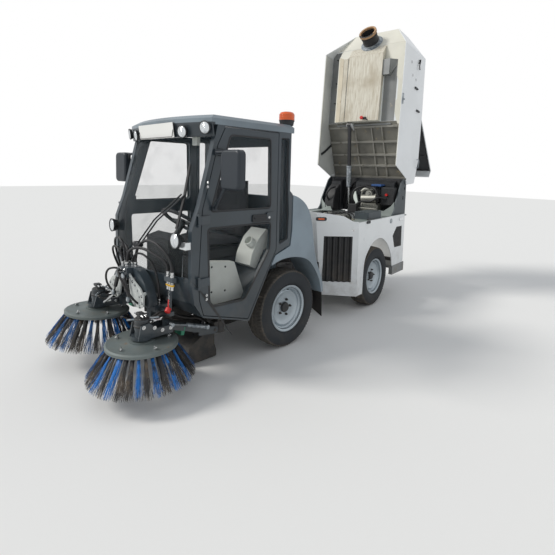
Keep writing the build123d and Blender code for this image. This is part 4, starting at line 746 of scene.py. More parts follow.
def ats(*points):
    return np.array([at(*point) for point in points])


def tubs(*points):
    return np.array([tub(*point) for point in points])


def plate(ring, shift_by):
    """An outline of points in space made thick by one shift, a vector in millimetres."""
    return surface(np.stack([ring, ring + np.array(shift_by) / 1000]))


def sheet(x0, x1, y0, y1, high, thick):
    """A level rectangle under the hopper, made thick downwards."""
    return plate(tubs((x0, y0, high), (x1, y0, high), (x1, y1, high), (x0, y1, high)), (0, 0, -thick))


def strip(start, end, wide, tall, reference=(0, 0, 1)):
    """A straight bar of rectangular section between two points."""
    return sweep([start, end], oblong(wide, tall) / 2000, reference)


def slope(x, down):
    """A point of the front slope: x, and the share of the way from its foot to its top."""
    return tub(x, -1613 - 249 * down, 200 + 159 * down)


def ramp(x, share):
    """A point of the ramp under the door: x, and the share of the way from the floor to the sill."""
    return tub(x, -600 + 795 * share, 200 + 334 * share)


def rib(start, end, proud, wide, tall):
    """A bar on the ramp's outer face, between two points of the ramp."""
    lift = OUT_OF_RAMP * proud
    return strip(ramp(*start) + lift, ramp(*end) + lift, wide, tall, OUT_OF_RAMP)


print("foot and top of the slope", slope(0, 0).round(3), slope(0, 1).round(3))

# %% [markdown]
# The sheets are a few millimetres thick and lie on the outer faces of the CAD's shell. They could
# be painted on, but a real edge catches the light and shows where box, ledge and wedge meet.

# %% Sheets on the hopper's underside
FLOOR, BOX, RAMP_FOOT = 199.5, 113.5, -604
front_slope = plate(np.array([slope(-506, 0), slope(-326, 0.97), slope(326, 0.97), slope(506, 0)]),
                    OUT_OF_SLOPE * 3)
slope_of_box = plate(tubs((-262, -1479, BOX), (236, -1479, BOX), (236, -1600, 193), (-262, -1600, 193)),
                     OUT_OF_SLOPE * 6)
ledge = plate(tubs((412, -1590, 199), (500, -1590, 199), (560, -1500, 199), (560, -560, 199),
                   (470, -560, 199), (420, -700, 199), (420, -860, 199), (440, -880, 199),
                   (440, -1120, 199), (412, -1180, 199)), (0, 0, -14))
tan_strip = plate(tubs((-404, -1500, BOX), (-342, -1470, BOX), (-342, RAMP_FOOT, BOX),
                       (-404, RAMP_FOOT, BOX)), (0, 0, -5))
wedge = surface(np.stack([tubs((236, y, 199), (330, y, 199), (330, y, 122), (236, y, 122))
                          for y in (-1395, -1195)]))
wedge_side = surface(np.stack([tubs((330, -1395, 199), (410, -1395, 199), (330, -1395, 122)),
                               tubs((330, -1215, 199), (410, -1330, 199), (330, -1215, 160))]))
piece("hopper_slope", "hopper", "cream", front_slope, sheet(236, 504, -1612, -1398, FLOOR, 4), place=TIP)
piece("underfloor_box", "hopper", "streaked", sheet(-262, 236, -1479, RAMP_FOOT, BOX, 9),
      sheet(-338, -276, -1470, RAMP_FOOT, BOX, 3), slope_of_box, place=TIP)
piece("underfloor_ledges", "hopper", "cream", ledge, place=TIP)
piece("underfloor_strip", "hopper", "tan", tan_strip, place=TIP)
piece("underfloor_wedge", "hopper", "floor_steel", wedge, wedge_side, place=TIP)
piece("bare_floor", "hopper", "floor_steel", sheet(238, 412, -1394, RAMP_FOOT, FLOOR, 2),
      sheet(-566, -424, -1600, RAMP_FOOT, FLOOR, 2), place=TIP)

deck = plate(np.array([ramp(-568, 0.0), ramp(568, 0.0), ramp(568, 0.985), ramp(-568, 0.985)]),
             OUT_OF_RAMP * 2)
piece("ramp_sheet", "hopper", "underside", deck, place=TIP)
piece("ramp_ribs", "hopper", "ramp_rib",
      *[rib((-560, s), (560, s), 0.012, 26, 22) for s in (0.07, 0.31, 0.52, 0.70, 0.90)],
      *[rib((x, 0.07), (x + 24, 0.98), 0.010, 16, 18) for x in (-150, 95, 245)], place=TIP)
piece("ramp_lintel", "hopper", "floor_steel", rib((-420, 0.035), (380, 0.035), 0.012, 20, 22), place=TIP)
print("after the underside", made_count)

# %% [markdown]
# The skirts are white outside and pale grey inside; that grey is lighter than the bare steel, as painted
# light where the sun does not reach. A rolled edge runs along their lower rim.
# The tube through the slope sits on a zinc flange with a ring of bolts, and its rim is raw steel.

# %% Skirts, flange and rim
SKIRT = [(0, 8), (-1524, 8), (-1524, 196), (-604, 196), (176, 520)]
for side, name in SIDES[::-1]:
    lining = plate(tubs(*[(side * 571.5, y, z) for y, z in SKIRT]), (-side * 2, 0, 0))
    rolled = strip(tub(side * 568, -1524, 4.5), tub(side * 568, -4, 4.5), 5, 8)
    piece(f"skirt_inside_{name}", "hopper", "inner_skirt", lining, place=TIP)
    piece(f"skirt_edge_{name}", "hopper", "cream", rolled, place=TIP)
duct = slope(0, 0.236)
flange = spun([(0.100, 0), (0.150, 0), (0.152, 0.003), (0.150, 0.006), (0.112, 0.008), (0.110, 0.030),
               (0.100, 0.030), (0.100, 0)], 48, duct + OUT_OF_SLOPE * 0.004, OUT_OF_SLOPE)
circle_of = [0.136 * np.array([cos(a), -0.843 * sin(a), 0.538 * sin(a)]) for a in np.arange(10) * pi / 5]
flange_bolts = bolts([duct + OUT_OF_SLOPE * 0.009 + spoke for spoke in circle_of], OUT_OF_SLOPE, 0.006)
bands = [spun([(0.1055, 0), (0.1095, 0.002), (0.1095, 0.012), (0.1055, 0.014), (0.1055, 0)], 48,
              duct + OUT_OF_SLOPE * out, OUT_OF_SLOPE) for out in (0.045, 0.120)]
rim = spun([(0.0965, 0.160), (0.1185, 0.160), (0.1190, 0.165), (0.1190, 0.185), (0.1150, 0.1885),
            (0.0960, 0.1885), (0.0955, 0.184), (0.0965, 0.160)], 64, duct, OUT_OF_SLOPE)
piece("duct_flange", "hopper", "galvanised", flange, flange_bolts, place=TIP)
piece("duct_bands", "hopper", "black_plastic", *bands, place=TIP)
piece("duct_rim", "hopper", "raw_rim", rim, place=TIP)
print("after the duct", made_count)

# %% [markdown]
# Small things stand on the hopper's left wall and under its box: the hook of the side flap, its
# eyelets, clips, a pull handle near the tail, a red drain knob, and a strap inside the far skirt.

# %% Hooks, clips, handles and knob
WALL_X = 578.6
hook = [rod(tub(WALL_X, -1440, 500), tub(WALL_X + 16, -1440, 500), 0.014),
        rod(tub(WALL_X, -1405, 480), tub(WALL_X + 16, -1405, 480), 0.012),
        sweep(tubs((WALL_X + 12, -1450, 505), (WALL_X + 16, -1410, 490), (WALL_X + 16, -1370, 470),
                   (WALL_X + 16, -1335, 480), (WALL_X + 14, -1320, 500)), circle(0.007, 8), (1, 0, 0))]
clips = [part for y, z in ((-1075, 400), (-800, 520)) for part in (
    block(tub(WALL_X, y, z), tub(WALL_X + 12, y + 26, z + 90)),
    rod(tub(WALL_X, y + 13, z + 100), tub(WALL_X + 14, y + 13, z + 100), 0.009))]
eyelets = [spun([(0.008, 0), (0.019, 0), (0.020, 0.002), (0.018, 0.004), (0.008, 0.004), (0.008, 0)], 24,
                tub(WALL_X - 0.5, y, z), (1, 0, 0)) for y, z in ((-1347, 236), (-1195, 300), (-1168, 426))]
latch = [block(tub(WALL_X, -900, 4), tub(WALL_X + 10, -770, 42)),
         rod(tub(WALL_X, -835, 60), tub(WALL_X + 12, -835, 60), 0.012)]
pull = sweep(tubs(*[(WALL_X + out, y, 700) for out, y in (
    (-1, -152), (22, -152), (28, -138), (28, -56), (22, -42), (-1, -42))]), circle(0.006, 8))
piece("hopper_hook", "hopper", "black_plastic", *hook, *clips, place=TIP)
piece("hopper_eyelets", "hopper", "steel", *eyelets, place=TIP)
piece("hopper_latch", "hopper", "galvanised", *latch, pull, place=TIP)
knob = spun([(0, 0), (0.012, 0), (0.012, 0.016), (0.022, 0.020), (0.024, 0.034), (0.018, 0.042), (0, 0.043)],
            20, tub(10, -640, 104), (0, 0, -1))
stubs = [rod(tub(x, y, 199), tub(x - 26, y, 150), 0.008)
         for x, y in ((-446, -1490), (-440, -1158), (-446, -880))]
strap = sweep(tubs((-566, -321, 330), (-560, -280, 260), (-562, -200, 150), (-564, -150, 60)),
              oblong(0.018, 0.001), (1, 0, 0))
piece("drain_knob", "hopper", "red", knob, place=TIP, slot="cream")
piece("drain_valve", "hopper", "black_plastic", block(tub(26, -652, 86), tub(66, -620, 104), 0.004),
      rod(tub(40, -636, 100), tub(86, -612, 96), 0.008), place=TIP)
piece("far_strap", "hopper", "black_plastic", strap, *stubs, place=TIP)
piece("box_seam", "hopper", "black_plastic",
      strip(tub(-269, -1476, 112), tub(-269, -606, 112), 5, 3), place=TIP)
print("after small things", made_count)

# %% [markdown]
# The rear door of the hopper hangs open. Its inside has a black rubber seal round the rim and
# pressed ribs, and it rides its own hinge, so its place has one more turn than the hopper's.

# %% Rear door
OPEN = TIP @ turn("X", 47.3, tub(0, -806, 767.3))
lining = plate(tubs((-540, -796, 761), (540, -796, 761), (540, 166, 656), (-540, 166, 656)), (0, 0.3, -4))
seals = [strip(tub(x, -780, 757.5), tub(x, 158, 653), 18, 9, (1, 0, 0)) for x in (-528, 528)]
ends = [strip(tub(-536, y, z), tub(536, y, z), 20, 9) for y, z in ((-780, 757.5), (154, 654))]
pressed = [strip(tub(-500, y, 757 - (y + 796) * 0.108), tub(500, y, 757 - (y + 796) * 0.108), 34, 14)
           for y in (-560, -330, -100)]
piece("rear_door_lining", "hopper_door", "black_plastic", lining, *pressed, place=OPEN)
piece("rear_door_seal", "hopper_door", "hose", *seals, *ends, place=OPEN)
print("after hopper", made_count)

# %% [markdown]
# With the hopper up, the engine bay shows between the uprights: black cooler and boxes, light
# castings, hoses in arcs and a pale guard bar. All of it stays under the line of the lowered ramp,
# and leaves a corridor free for the tipping cylinder.

# %% Engine bay
DECK = 1031


def on_side(x, back, high, side=1):
    """Matrix that stands a flat outline up on a side wall, with its thickness pointing outwards."""
    placed = np.array([(0, 0, side, 0), (1, 0, 0, 0), (0, 1, 0, 0), (0, 0, 0, 1)], float)
    placed[:3, 3] = at(x, back, high)
    return placed


def from_side(points, low, high):
    """An outline of (behind the axle, height) pairs in mm, made solid from one x to another."""
    return moved(slab(np.array(points) / 1000, 0, (high - low) / 1000, 0.006), on_side(low, 0, 0))


def pipe(points, radius, sides):
    """A round pipe on a smooth line through points in mm."""
    return sweep(smooth(ats(*points)), circle(radius, sides))


cooler = [(2236, DECK), (2326, DECK), (2326, 1470), (2236, 1438)]
piece("bay_cooler", "rear_module", "black_plastic",
      from_side(cooler, -86, 470), from_side(cooler, -470, -316),
      *[block(at(x, 2228, 1060), at(x + 12, 2237, 1400), 0.001) for x in range(-60, 440, 30)], place=STEER)
piece("bay_back_cover", "rear_module", "grille", block(at(-540, 2345, DECK), at(540, 2358, 1500)),
      *[block(at(x, 2336, 1040), at(x + 30, 2346, 1490), 0.002) for x in (-520, -290, -140, 480)],
      place=STEER)
piece("bay_boxes", "rear_module", "duct", block(at(352, 2110, 1150), at(520, 2224, 1385), 0.012),
      block(at(-60, 1990, DECK), at(60, 2080, 1150), 0.010),
      from_side([(2060, DECK), (2222, DECK), (2222, 1395), (2130, 1330), (2060, 1180)], -470, -330),
      place=STEER)
piece("bay_lid", "rear_module", "air_lid",
      block(at(206, 2110, 1392), at(344, 2232, 1420), 0.006), place=STEER)
castings = [block(at(70, 2100, DECK), at(310, 2222, 1170), 0.012),
            rod(at(80, 2120, 1222), at(270, 2120, 1232), 0.052, 24),
            rod(at(270, 2120, 1232), at(292, 2120, 1233), 0.064, 24),
            rod(at(180, 2150, 1290), at(180, 2100, 1290), 0.046, 24),
            rod(at(180, 2100, 1290), at(180, 2088, 1290), 0.020, 16),
            *[block(at(88 + 24 * k, 2094, 1040), at(98 + 24 * k, 2102, 1160), 0.001) for k in range(9)]]
elbow = sweep(ats((96, 2130, 1230), (70, 2120, 1270), (74, 2110, 1320), (110, 2110, 1350), (160, 2130, 1352),
                  (200, 2170, 1350)), circle(0.022, 14))
piece("bay_castings", "rear_module", "casting", *castings, elbow, place=STEER)
piece("bay_tank", "rear_module", "upright_pale",
      plate(ats((-112, 2205, 1300), (-66, 2205, 1308), (42, 2095, 1112), (-16, 2095, 1100)), (0, 26, 6)),
      place=STEER)
arcs = [[(300, 2090, 1160), (330, 2060, 1260), (280, 2060, 1360), (190, 2100, 1375), (60, 2150, 1370)],
        [(-20, 2100, 1150), (-40, 2060, 1240), (0, 2060, 1340), (90, 2100, 1385), (180, 2170, 1390)],
        [(-400, 2080, 1150), (-420, 2020, 1250), (-380, 2040, 1330), (-350, 2130, 1360)],
        [(420, 2104, 1240), (330, 2050, 1250), (250, 2030, 1200), (120, 2040, 1190), (20, 2070, 1140)],
        [(-300, 2336, 1100), (-300, 2320, 1220), (-200, 2326, 1360), (-80, 2230, 1452)]]
piece("bay_hoses", "rear_module", "hose", *[pipe(points, 0.013, 12) for points in arcs], place=STEER)
guard = smooth(ats((-30, 2074, 1034), (-22, 2066, 1086), (10, 2062, 1098), (280, 2062, 1098),
                   (308, 2066, 1086), (316, 2074, 1034)), 5)
gussets = [plate(ats((side * 322, 2020, DECK), (side * 541, 2086, DECK), (side * 541, 2086, 1205),
                     (side * 505, 2075, 1150), (side * 420, 2050, 1082), (side * 360, 2032, 1092)), (0, 5, 0))
           for side, _ in SIDES]
folded = [plate(ats((side * 322, 2020, DECK), (side * 541, 2086, DECK), (side * 541, 1900, 1034),
                    (side * 430, 1880, 1034)), (0, 0, 3)) for side, _ in SIDES]
piece("bay_guard", "rear_module", "casting", sweep(guard, circle(0.008, 10)), place=STEER)
piece("deck_gussets", "rear_module", "upright_pale", *gussets, *folded, place=STEER)
piece("bay_cap", "rear_module", "red", rod(at(428, 2108, 1290), at(428, 2086, 1290), 0.016, 16), place=STEER,
      slot="black_plastic")
print("after engine bay", made_count)

# %% [markdown]
# The tipping cylinder wears a zinc sleeve, which rides the barrel. Further forward, the engine gets
# a black cover with three caps, four leads, an alternator and a pipe for its air.

# %% Cylinder sleeve and engine
# The tipping barrel's upper eye and its axis, as parked
EYE, AXIS = np.array([-0.38537, 1.27807, 2.21702]), np.array([-0.006954, 0.060172, -0.998164])
piece("cylinder_sleeve", "tip_barrel", "galvanised",
      spun([(0.0255, 0), (0.040, 0), (0.040, 0.018), (0.035, 0.020), (0.035, 0.290), (0.0255, 0.290),
            (0.0255, 0)], 32, EYE + AXIS * 0.560, AXIS))
rocker = [block(at(-150, 1190, 981), at(150, 1560, 1032), 0.012),
          block(at(-110, 1215, 1032), at(110, 1535, 1052), 0.010)]
caps = [rod(at(-60, 1300 + 110 * k, 1052), at(-60, 1300 + 110 * k, 1066), 0.022, 20) for k in range(3)]
alternator = [rod(at(-215, 1180, 1025), at(-215, 1290, 1025), 0.052, 24),
              rod(at(-215, 1168, 1025), at(-215, 1180, 1025), 0.030, 20)]
intake = pipe([(205, 1560, 1010), (215, 1440, 1040), (210, 1300, 1050), (150, 1200, 1040)], 0.026, 16)
leads = [pipe([(60, 1250 + 90 * k, 1054), (140, 1260 + 90 * k, 1084), (235, 1300 + 90 * k, 1060),
               (252, 1310 + 90 * k, 990)], 0.006, 8) for k in range(4)]
piece("engine_castings", "rear_module", "casting", *alternator, *caps, intake, place=STEER)
piece("engine_cover", "rear_module", "black_plastic", *rocker, place=STEER)
piece("engine_leads", "rear_module", "hose", *leads, place=STEER)
print("after engine", made_count)

# %% [markdown]
# ## Hydraulic hoses
# A hose is one smooth curve: a NURBS line through the air whose control points are the corners of
# its route, thickened by the curve's own bevel. Each hose is declared with its real length, and
# has a crimped steel fitting at both ends.

# %% Hoses and their fittings
def hose(name, body, route, radius, place=BASE, replaced=()):
    """A NURBS curve of order 3 through a route's corners, with a crimped sleeve and nut at each end."""
    points = route @ place[:3, :3].T + place[:3, 3]
    line = bpy.data.curves.new(name, "CURVE")
    line.dimensions = "3D"
    spline = line.splines.new("NURBS")
    spline.points.add(len(points) - 1)
    spline.points.foreach_set("co", np.c_[points, np.ones(len(points))].ravel())
    spline.order_u = 3
    spline.use_endpoint_u = True
    line.bevel_depth, line.bevel_resolution, line.resolution_u = radius, 3, 14
    line.use_fill_caps = True
    line.materials.append(finishes["hose"])
    made = bpy.data.objects.new(name, line)
    bpy.context.scene.collection.objects.link(made)
    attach(made, body)
    if replaced:
        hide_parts(*replaced)
    profile = [(0, 0), (1.5 * radius, 0), (1.5 * radius, 0.0108), (1.2 * radius, 0.01224),
               (1.32 * radius, 0.0144), (1.32 * radius, 0.036), (0, 0.036)]
    ends = [spun(profile, 12, tip, unit(inner - tip)) for tip, inner in (points[:2], points[:-3:-1])]
    fittings = piece(f"{name}_fittings", body, "steel", *ends)


print("curves before the hoses", len(bpy.data.curves))

# %% [markdown]
# Three big loops stand where CAD has plain tubes, and six thinner hoses run beside them. Each
# arm carries a pair, whose route leans with the arm.

# %% Routes of the hoses
# name: length in metres, radius in metres, CAD nodes that it replaces, corners of the route in mm
HOSES = {
    "loop_hose_outer": (0.7179, 0.011, ["hose_outer"], [
        (45, -1185, 812.3), (45, -1185, 925), (145, -1182, 1025), (290, -1175, 1045), (410, -1150, 985),
        (467, -1120, 900), (467, -1120, 800.3)]),
    "loop_hose_inner": (0.6303, 0.011, ["hose_inner"], [
        (0, -1230, 812.3), (0, -1230, 900), (70, -1228, 965), (205, -1205, 985), (335, -1160, 935),
        (411, -1120, 895), (411, -1120, 800.3)]),
    "loop_hose_right": (0.6692, 0.011, ["hose_right"], [
        (-45, -1190, 812.3), (-45, -1190, 905), (-130, -1185, 970), (-235, -1165, 930),
        (-290, -1136, 830), (-285, -1110, 690), (-285, -1110, 568.3)]),
    "carrier_hose_left": (0.4687, 0.008, [], [
        (28, -1262.5, 790), (28, -1310, 805), (88, -1345, 800), (168, -1335, 720), (196, -1290, 620),
        (202, -1225, 552), (204, -1175.5, 545)]),
    "carrier_hose_right": (0.4549, 0.008, [], [
        (-28, -1262.5, 790), (-28, -1305, 812), (-100, -1342, 792), (-160, -1330, 700),
        (-182, -1285, 610), (-190, -1225, 552), (-192, -1175.5, 545)]),
    "carrier_hose_high": (0.6265, 0.008, [], [
        (22, -1200, 812.3), (22, -1200, 870), (92, -1196, 930), (190, -1180, 925), (268, -1150, 850),
        (285, -1120, 700), (285, -1120, 568.3)]),
    "loop_far_high": (0.7994, 0.008, [], [
        (-52, -1215, 812.3), (-52, -1215, 930), (-120, -1228, 1022), (-232, -1222, 1006),
        (-312, -1180, 900), (-316, -1128, 720), (-310, -1100, 568.3)]),
    "loop_far_low": (0.6784, 0.008, [], [
        (-35, -1245, 812.3), (-38, -1248, 892), (-102, -1262, 962), (-205, -1256, 940),
        (-268, -1206, 830), (-262, -1140, 680), (-258, -1092, 568.3)]),
    "carrier_hose_low": (0.5389, 0.008, [], [
        (-20, -1165, 812.3), (-20, -1165, 862), (-90, -1160, 905), (-180, -1150, 880),
        (-236, -1130, 800), (-232, -1112, 690), (-232, -1112, 568.3)]),
}
for name, (length, radius, replaced, route) in HOSES.items():
    hose(name, "front_module", ats(*route), radius, replaced=replaced)

# An arm leans from its pivot's x towards its brush's x over its length, and its hoses with it
ARM_PIVOT_X, ARM_PIVOT_BACK, ARM_LONG = 385, -790, 520
ARM_ROUTE = [(-800, 346.5), (-803, 392), (-862, 428), (-940, 446), (-1022, 476), (-1100, 528),
             (-1172, 540), (-1236, 512), (-1269, 500)]
for side, name, brush_x, _, parked in ARMS:
    lean = brush_x - side * ARM_PIVOT_X
    for number, aside_by in enumerate((-17, 17)):
        route = ats(*[(side * ARM_PIVOT_X + lean * (ARM_PIVOT_BACK - back) / ARM_LONG + aside_by, back, high)
                      for back, high in ARM_ROUTE])
        hose(f"arm_hose_{name}_{number}", f"arm_{name}", route, 0.008, place=parked)
print("after hoses", made_count)

# %% [markdown]
# ## Brush heads, arms and carrier
# The head of an arm is a cast motor under a bolted cap, between two cheek plates, with a valve box
# and hex unions. A damper, a lever and galvanised adjusting rods stand beside the arm, and a strip
# of green tape goes round it.

# %% Motors, dampers and rods
MOTOR_TOP = 532
COLLAR = [(0.0515, 0.0), (0.0555, 0.004), (0.0555, 0.012), (0.0515, 0.016), (0.0515, 0.0)]
FIN = [(0.0515, 0.0), (0.0535, 0.001), (0.0535, 0.004), (0.0515, 0.005), (0.0515, 0)]
UP = (0, 0, 1)
for side, name, bx, by, parked in ARMS:
    def by_head(x, back, high):
        """A point in metres from millimetres beside the motor's axis: outwards, backwards, height."""
        return at(bx + side * x, by + back, high)

    cap = spun([(0, 0), (0.0505, 0), (0.0505, 0.004), (0.043, 0.010), (0.030, 0.011), (0.026, 0.020),
                (0, 0.021)], 40, at(bx, by, MOTOR_TOP), UP)
    collars = [spun(COLLAR, 40, at(bx, by, 478), UP),
               *[spun(FIN, 40, at(bx, by, z), UP) for z in (500, 509, 518)]]
    screws = bolts([at(bx + 39 * cos(a), by + 39 * sin(a), MOTOR_TOP + 4)
                    for a in np.arange(4) * pi / 2 + pi / 4], UP, 0.006)
    cheeks = [bolts([at(bx + out * 67.4, by + y, z)
                     for y, z in ((185, 440), (120, 440), (60, 470), (-20, 490))],
                    (out, 0, 0), 0.008) for out in (-1, 1)]
    behind = [rod(at(bx + x, by + start, 500), at(bx + x, by + end, 500), radius, 6)
              for x in (-15, 15 if side > 0 else 5)
              for start, end, radius in ((74, 92, 0.012), (92, 112, 0.0085), (112, 134, 0.011))]
    beside = [rod(at(bx + x0, by + y, 565), at(bx + x1, by + y, z1), radius, sides)
              for y, x, away in ((-20, 22, 1), (2, 22, 1), (-20, -30, -1), (2, -30, -1))
              for x0, x1, z1, radius, sides in ((x, x + away * 16, 565, 0.008, 6),
                                                (x + away * 16, x + away * 34, 560, 0.006, 12))]
    piece(f"motor_{name}", f"arm_{name}", "black_plastic", cap, *collars,
          block(at(bx - 26, by + 44, 486), at(bx + 26, by + 74, 514)),
          block(at(bx - 30, by - 30, 553), at(bx + 22, by + 14, 577), 0.004), place=parked)
    piece(f"motor_screws_{name}", f"arm_{name}", "steel", screws, *cheeks, *behind, *beside, place=parked)
    damper = [rod(at(side * 441, -800, 352), by_head(52, 330, 418), 0.016, 16),
              rod(by_head(52, 330, 418), by_head(56, 205, 452), 0.008, 12),
              rod(by_head(40, 200, 454), by_head(74, 200, 454), 0.014, 12),
              rod(at(side * 429, -800, 352), at(side * 457, -800, 352), 0.017, 12)]
    piece(f"damper_{name}", f"arm_{name}", "galvanised", *damper, place=parked)
    piece(f"adjusting_rods_{name}", f"arm_{name}", "galvanised",
          rod(by_head(-96, -62, 508), by_head(62, 96, 536), 0.007, 8),
          rod(by_head(-78, 92, 528), by_head(-20, 20, 556), 0.006, 8), place=parked)
    lever = [by_head(-72, 60, 470), by_head(-118, 20, 474), by_head(-150, -26, 492), by_head(-156, -70, 520)]
    piece(f"brush_lever_{name}", f"arm_{name}", "black_plastic",
          sweep(lever, circle(0.012, 8) * [1, 0.5]), place=parked)
    share = 0.42
    middle = ARM_PIVOT_BACK - ARM_LONG * share
    mid_x = side * ARM_PIVOT_X + (bx - side * ARM_PIVOT_X) * share
    tape = sweep([at(mid_x, middle + 14, 366.5), at(mid_x, middle - 14, 373)], oblong(0.0415, 0.0300))
    piece(f"arm_tape_{name}", f"arm_{name}", "green_tape", tape, place=parked)
print("after arms", made_count)

# %% [markdown]
# The carrier has bolts along its pale plates, pins on its short cylinders, and a row of quick
# couplers with a red dust cap on a chain under the hose rail.

# %% Couplers, cap and carrier bolts
DOWN, FORWARD, FRONT_FACE = (0, 0, -1), (0, -1, 0), -1246.2
couplers = [spun([(0, 0), (0.012, 0), (0.012, 0.010), (0.0155, 0.012), (0.0155, 0.034), (0.012, 0.036),
                  (0.012, 0.058), (0.009, 0.060), (0, 0.061)], 20, at(x, -1120, 764.5), DOWN)
            for x in (411, 439, 467)]
rings = [spun([(0.0156, 0.016), (0.0175, 0.017), (0.0175, 0.029), (0.0156, 0.030), (0.0156, 0.016)], 20,
              at(x, -1120, 764.5), DOWN) for x in (411, 439, 467)]
piece("couplers", "front_module", "steel", *couplers)
piece("coupler_rings", "front_module", "yellow", *rings)
cap = spun([(0, 0), (0.019, 0), (0.021, 0.006), (0.021, 0.028), (0.014, 0.034), (0, 0.035)], 20,
           at(470, -1150, 585), (0.3, -0.6, -0.7))
clip = sweep(ats((452, -1140, 640), (474, -1156, 612), (486, -1160, 580), (470, -1158, 556),
                 (446, -1146, 566)), circle(0.005, 8), (0, 1, 0))
piece("dust_cap", "front_module", "red", cap, clip, slot="hose")
links = [spun([(0.0045, -0.001), (0.0065, -0.001), (0.0065, 0.001), (0.0045, 0.001), (0.0045, -0.001)], 8,
              at(436 + 2 * k, -1128 - 1.5 * k, 700 - 8 * k), (1, 0, 0) if k % 2 else (0, 1, 0))
         for k in range(13)]
piece("cap_chain", "front_module", "steel", *links)
studs = [at(x * s, FRONT_FACE, z) for s in (-1, 1) for x, z in
         ((84, 738), (120, 722), (160, 704), (262, 640), (266, 590), (232, 556), (160, 556), (112, 585))]
piece("plate_bolts", "front_module", "steel", bolts(studs, FORWARD, 0.007),
      rod(at(-150, -1285, 524), at(-196, -1304, 508), 0.010),
      rod(at(-125, -1268, 582), at(-200, -1326, 502), 0.009))
pins = [spun([(0, 0), (0.021, 0), (0.022, 0.004), (0.022, 0.010), (0.012, 0.014), (0, 0.0145)], 20,
             at(s * x, -1280, z), FORWARD) for s in (-1, 1) for x, z in ((45, 752), (125, 592))]
piece("ram_pins", "front_module", "galvanised", *pins)
print("after carrier", made_count)

# %% [markdown]
# ## The cab
# Each pane sits in a black rubber seal. A seal is the band between a pane's outline and the same
# outline drawn in, with its corners rounded by short quadratic curves. The doors also get their
# handle cups, locks and hinge screws.

# %% Window seals and door hardware
def seal(points, reach, x, deep, grow=5.0, wide=15.0):
    """A rubber band on a side wall: two outlines at two depths make a closed ring of section."""
    points = rounded(points, reach)
    outer, inner = inset(points, -grow), inset(points, wide - grow)
    rings = [(outer, x), (outer * 0.6 + inner * 0.4, x + deep), (inner, x + deep * 0.6), (inner, x - deep),
             (outer, x)]
    return surface(np.stack([ats(*[(out, y, z) for y, z in line]) for line, out in rings]))


def lozenge(half_long, half_tall, reach, deep, bevel):
    """A flat plate whose corners are rounded by the reach given, all but the depth and bevel in mm."""
    return slab(rounded(oblong(half_long, half_tall), reach) / 1000, 0, deep, bevel)


UPPER = [(-723, 1822), (-305, 1822), (-292, 1264), (-895, 1264)]
LOWER = [(-918, 1149), (-285, 1149), (-292, 923), (-554, 552), (-864, 562), (-898, 607)]
REAR_SIDE = [(-188, 1838), (-188, 950), (-82, 990), (-76, 1200), (-90, 1390), (-90, 1838)]
for side, name in SIDES:
    piece(f"door_seals_{name}", f"door_{name}", "black_plastic",
          *[seal(points, 34, side * 600.3, side * 4) for points in (UPPER, LOWER)])
    cup = moved(lozenge(100, 30, 16, 0.0125, 0.003), on_side(side * 600.2, -398, 1190, side))
    grip = block(at(side * 614 - 4, -480, 1184), at(side * 614 + 4, -350, 1204))
    lock = spun([(0, 0), (0.011, 0), (0.011, 0.004), (0.007, 0.006), (0, 0.006)], 20,
                at(side * 612.6, -322, 1192), (side, 0, 0))
    piece(f"door_handle_{name}", f"door_{name}", "black_plastic", cup, grip)
    piece(f"door_lock_{name}", f"door_{name}", "steel", lock)
    hinge = [at(side * 606, -925, z) for z in (635, 665, 1445, 1475)]
    piece(f"hinge_screws_{name}", f"door_{name}", "steel", bolts(hinge, (side, 0.05, 0), 0.006))
    piece(f"rear_side_seal_{name}", "front_module", "black_plastic",
          seal(REAR_SIDE, 26, side * 588, side * 4, grow=4, wide=12))
print("after doors", made_count)

# %% [markdown]
# The seat is two foam cushions on a black base. A cushion is a grid over its plan: it is thickest in
# the middle and falls away to the rim like a squashed ball, with sewn channels. Light plastic
# covers, a ribbed mat and the steering wheel's grip fill the space that shows through the door.

# %% Seat, covers and mat
def cushion(centre, along, thick, half_long, half_wide):
    """Closed pillow: height = thick ((1 - u^6)(1 - v^6))^0.45 on a rounded square, less channels."""
    u, v = np.meshgrid(np.linspace(-1, 1, 41), np.linspace(-1, 1, 41), indexing="ij")
    squeeze = 1 - 0.06 * (np.abs(u) ** 4 * np.abs(v) ** 4)
    dome = ((1 - np.abs(u) ** 6) * (1 - np.abs(v) ** 6)).clip(0) ** 0.45
    channel = 1 - 0.16 * np.exp(-((np.abs(v) - 0.58) / 0.035) ** 2) - 0.10 * np.exp(-((u - 0.1) / 0.03) ** 2)
    bolster = 1 + 0.20 * step(np.abs(v), 0.6, 0.8)
    rise = thick * dome * channel * bolster
    long_axis, wide_axis = unit(np.array([0, *along], float)), np.array([-1.0, 0, 0])
    normal = np.cross(long_axis, wide_axis)
    flat = (centre + (u * squeeze * half_long)[..., None] * long_axis
            + (v * squeeze * half_wide)[..., None] * wide_axis)
    top = flat + rise[..., None] * normal
    under = flat - (0.22 * rise)[..., None] * normal
    return join(surface(top, wrap=False), surface(under[::-1], wrap=False))


